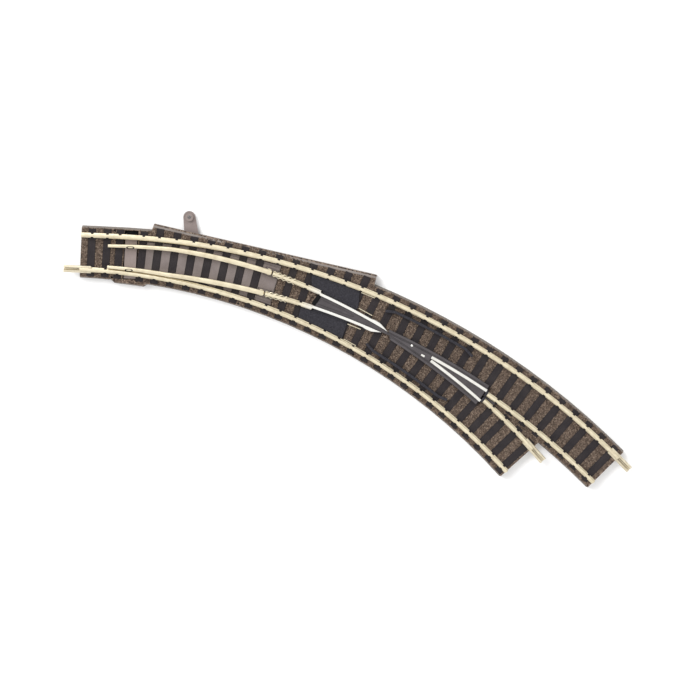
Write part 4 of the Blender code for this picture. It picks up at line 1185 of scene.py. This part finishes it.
# dark lips that carry the infill panels up to the slim stretch of the closure rails
lip = {"start": 0.0740, "end": 0.0854, "along": 0.00580, "half": 0.00036}
lipOutline = barOutline(lip["half"], layout["bedTop"], layout["railBase"] + 0.00033, 0.00008)
for lipName, route, side in (("outerPanelLip", inner, 1), ("innerPanelLip", outer, -1)):
    start, end, along = lip["start"], lip["end"], lip["along"]
    barAlong(lipName, route, start, end, side, along, lipOutline, darkPlastic)

# grey tail between the two exit rails: as wide as the space between the rails' outsides
tail = {"start": 0.1352, "end": 0.1387, "side": 0.00612, "top": 0.0041}
stations = np.linspace(tail["start"], tail["end"], 8)
nearOuter = onRoute(outer, stations, -tail["side"])
nearInner = onRoute(inner, locate(inner, nearOuter)[0], tail["side"])
gap = np.linalg.norm(nearOuter - nearInner, axis=1)
path = np.concatenate([(nearOuter + nearInner) / 2, np.zeros((8, 1))], 1)
tailOutline = np.repeat(barOutline(1.0, layout["bedTop"], tail["top"], 0.0)[None], 8, 0)
tailOutline[..., 0] = np.sign(tailOutline[..., 0]) * gap[:, None] / 2
points, faces, run = carried(path, leftOf(outer, stations), tailOutline)
mesh = newMesh("crossingTail", points, faces, run=run)
finishPiece("crossingTail", mesh, crossingPlastic, "roadbed", None, 32)

# near-black rings painted as the shade round the tie bar's pegs where they hold the blades: a flattened ring
# on each blade's top
eyeShadeRings = {
    "long": 0.00105,
    "wide": 0.00036,
    "wire": 0.00010,
    "section": 0.22,
    "aside": 0.00035,
    "sink": 0.00013,
}
eyeShadePoints, eyeShadeFaces = ringShape(1.0, eyeShadeRings["section"])
for eyeShadeName, route, side, opened, bodyName in (
    ("outerEyeShade", inner, 1, True, "outer_blade"),
    ("innerEyeShade", outer, -1, False, "inner_blade"),
):
    shape, pivot = bladeShape(route, side, opened)
    here = shape[0].reshape(blades["rows"], -1, 3).mean(axis=1)
    spot = here[np.argmin(np.abs(here[:, 0] - toeCorner[0] - blades["tieX"]))]
    points = eyeShadePoints * [eyeShadeRings["long"], eyeShadeRings["wide"], eyeShadeRings["wire"] / eyeShadeRings["section"]]
    points = points + [spot[0], spot[1] - eyeShadeRings["aside"], layout["railTop"] - eyeShadeRings["sink"]]
    mesh = newMesh(eyeShadeName, points, eyeShadeFaces.tolist())
    finishPiece(eyeShadeName, mesh, paintedShadeBlack, bodyName, None, 40)
print("trim made")

view = {"tilt": 4.0, "roll": -2.681, "away": 1.2, "lens": 201.70, "aim": (0.000295, -0.000561, 0.003)}
tilt, roll = math.radians(view["tilt"]), math.radians(view["roll"])
back = np.array([0.0, math.sin(tilt), math.cos(tilt)])
right = np.cross([math.sin(roll), math.cos(roll), 0.0], back)
right = right / np.linalg.norm(right)
up = np.cross(back, right)
cameraData = bpy.data.cameras.new("studioCamera")
cameraData.lens = view["lens"]
cameraData.sensor_width = 36.0
cameraData.clip_end = 10.0
camera = bpy.data.objects.new("studioCamera", cameraData)
bpy.context.scene.collection.objects.link(camera)
matrix = np.eye(4)
matrix[:3, :3] = np.stack([right, up, back], 1)
matrix[:3, 3] = np.array(view["aim"]) + back * view["away"]
camera.matrix_world = Matrix(matrix.tolist())
bpy.context.scene.camera = camera

stageValues = {"size": 6.0, "colour": (0.93, 0.93, 0.93, 1.0), "world": 0.80}
floorMesh = bpy.data.meshes.new("studioFloor")
reach = stageValues["size"] / 2
floorCorners = [(-reach, -reach, 0), (reach, -reach, 0), (reach, reach, 0), (-reach, reach, 0)]
floorMesh.from_pydata(floorCorners, [], [(0, 1, 2, 3)])
floorPaint, _, floorShader = finishNodes("studioFloorPaint", 0.9)
floorShader.inputs["Base Color"].default_value = stageValues["colour"]
floorMesh.materials.append(floorPaint)
studioFloor = bpy.data.objects.new("studioFloor", floorMesh)
studioFloor.location.z = -0.00002
bpy.context.scene.collection.objects.link(studioFloor)

world = bpy.data.worlds.new("studioWorld")
world.use_nodes = True
world.node_tree.nodes["Background"].inputs["Color"].default_value = (1.0, 1.0, 1.0, 1.0)
world.node_tree.nodes["Background"].inputs["Strength"].default_value = stageValues["world"]
bpy.context.scene.world = world
bpy.context.scene.view_settings.view_transform = "Standard"
lamps = {
    "keyLamp": {"place": (-0.75, 0.65, 1.0), "size": 0.9, "power": 16.0},
    "fillLamp": {"place": (0.8, -0.7, 1.0), "size": 1.1, "power": 7.0},
}
for lampName, lamp in lamps.items():
    lampData = bpy.data.lights.new(lampName, "AREA")
    lampData.size = lamp["size"]
    lampData.energy = lamp["power"]
    lampObject = bpy.data.objects.new(lampName, lampData)
    lampObject.location = lamp["place"]
    lampObject.visible_camera = False
    away = np.array(lamp["place"])
    tip = math.acos(away[2] / np.linalg.norm(away))
    lampObject.rotation_euler = (tip, 0.0, math.atan2(away[1], away[0]) + math.pi / 2)
    bpy.context.scene.collection.objects.link(lampObject)
print("studio made")
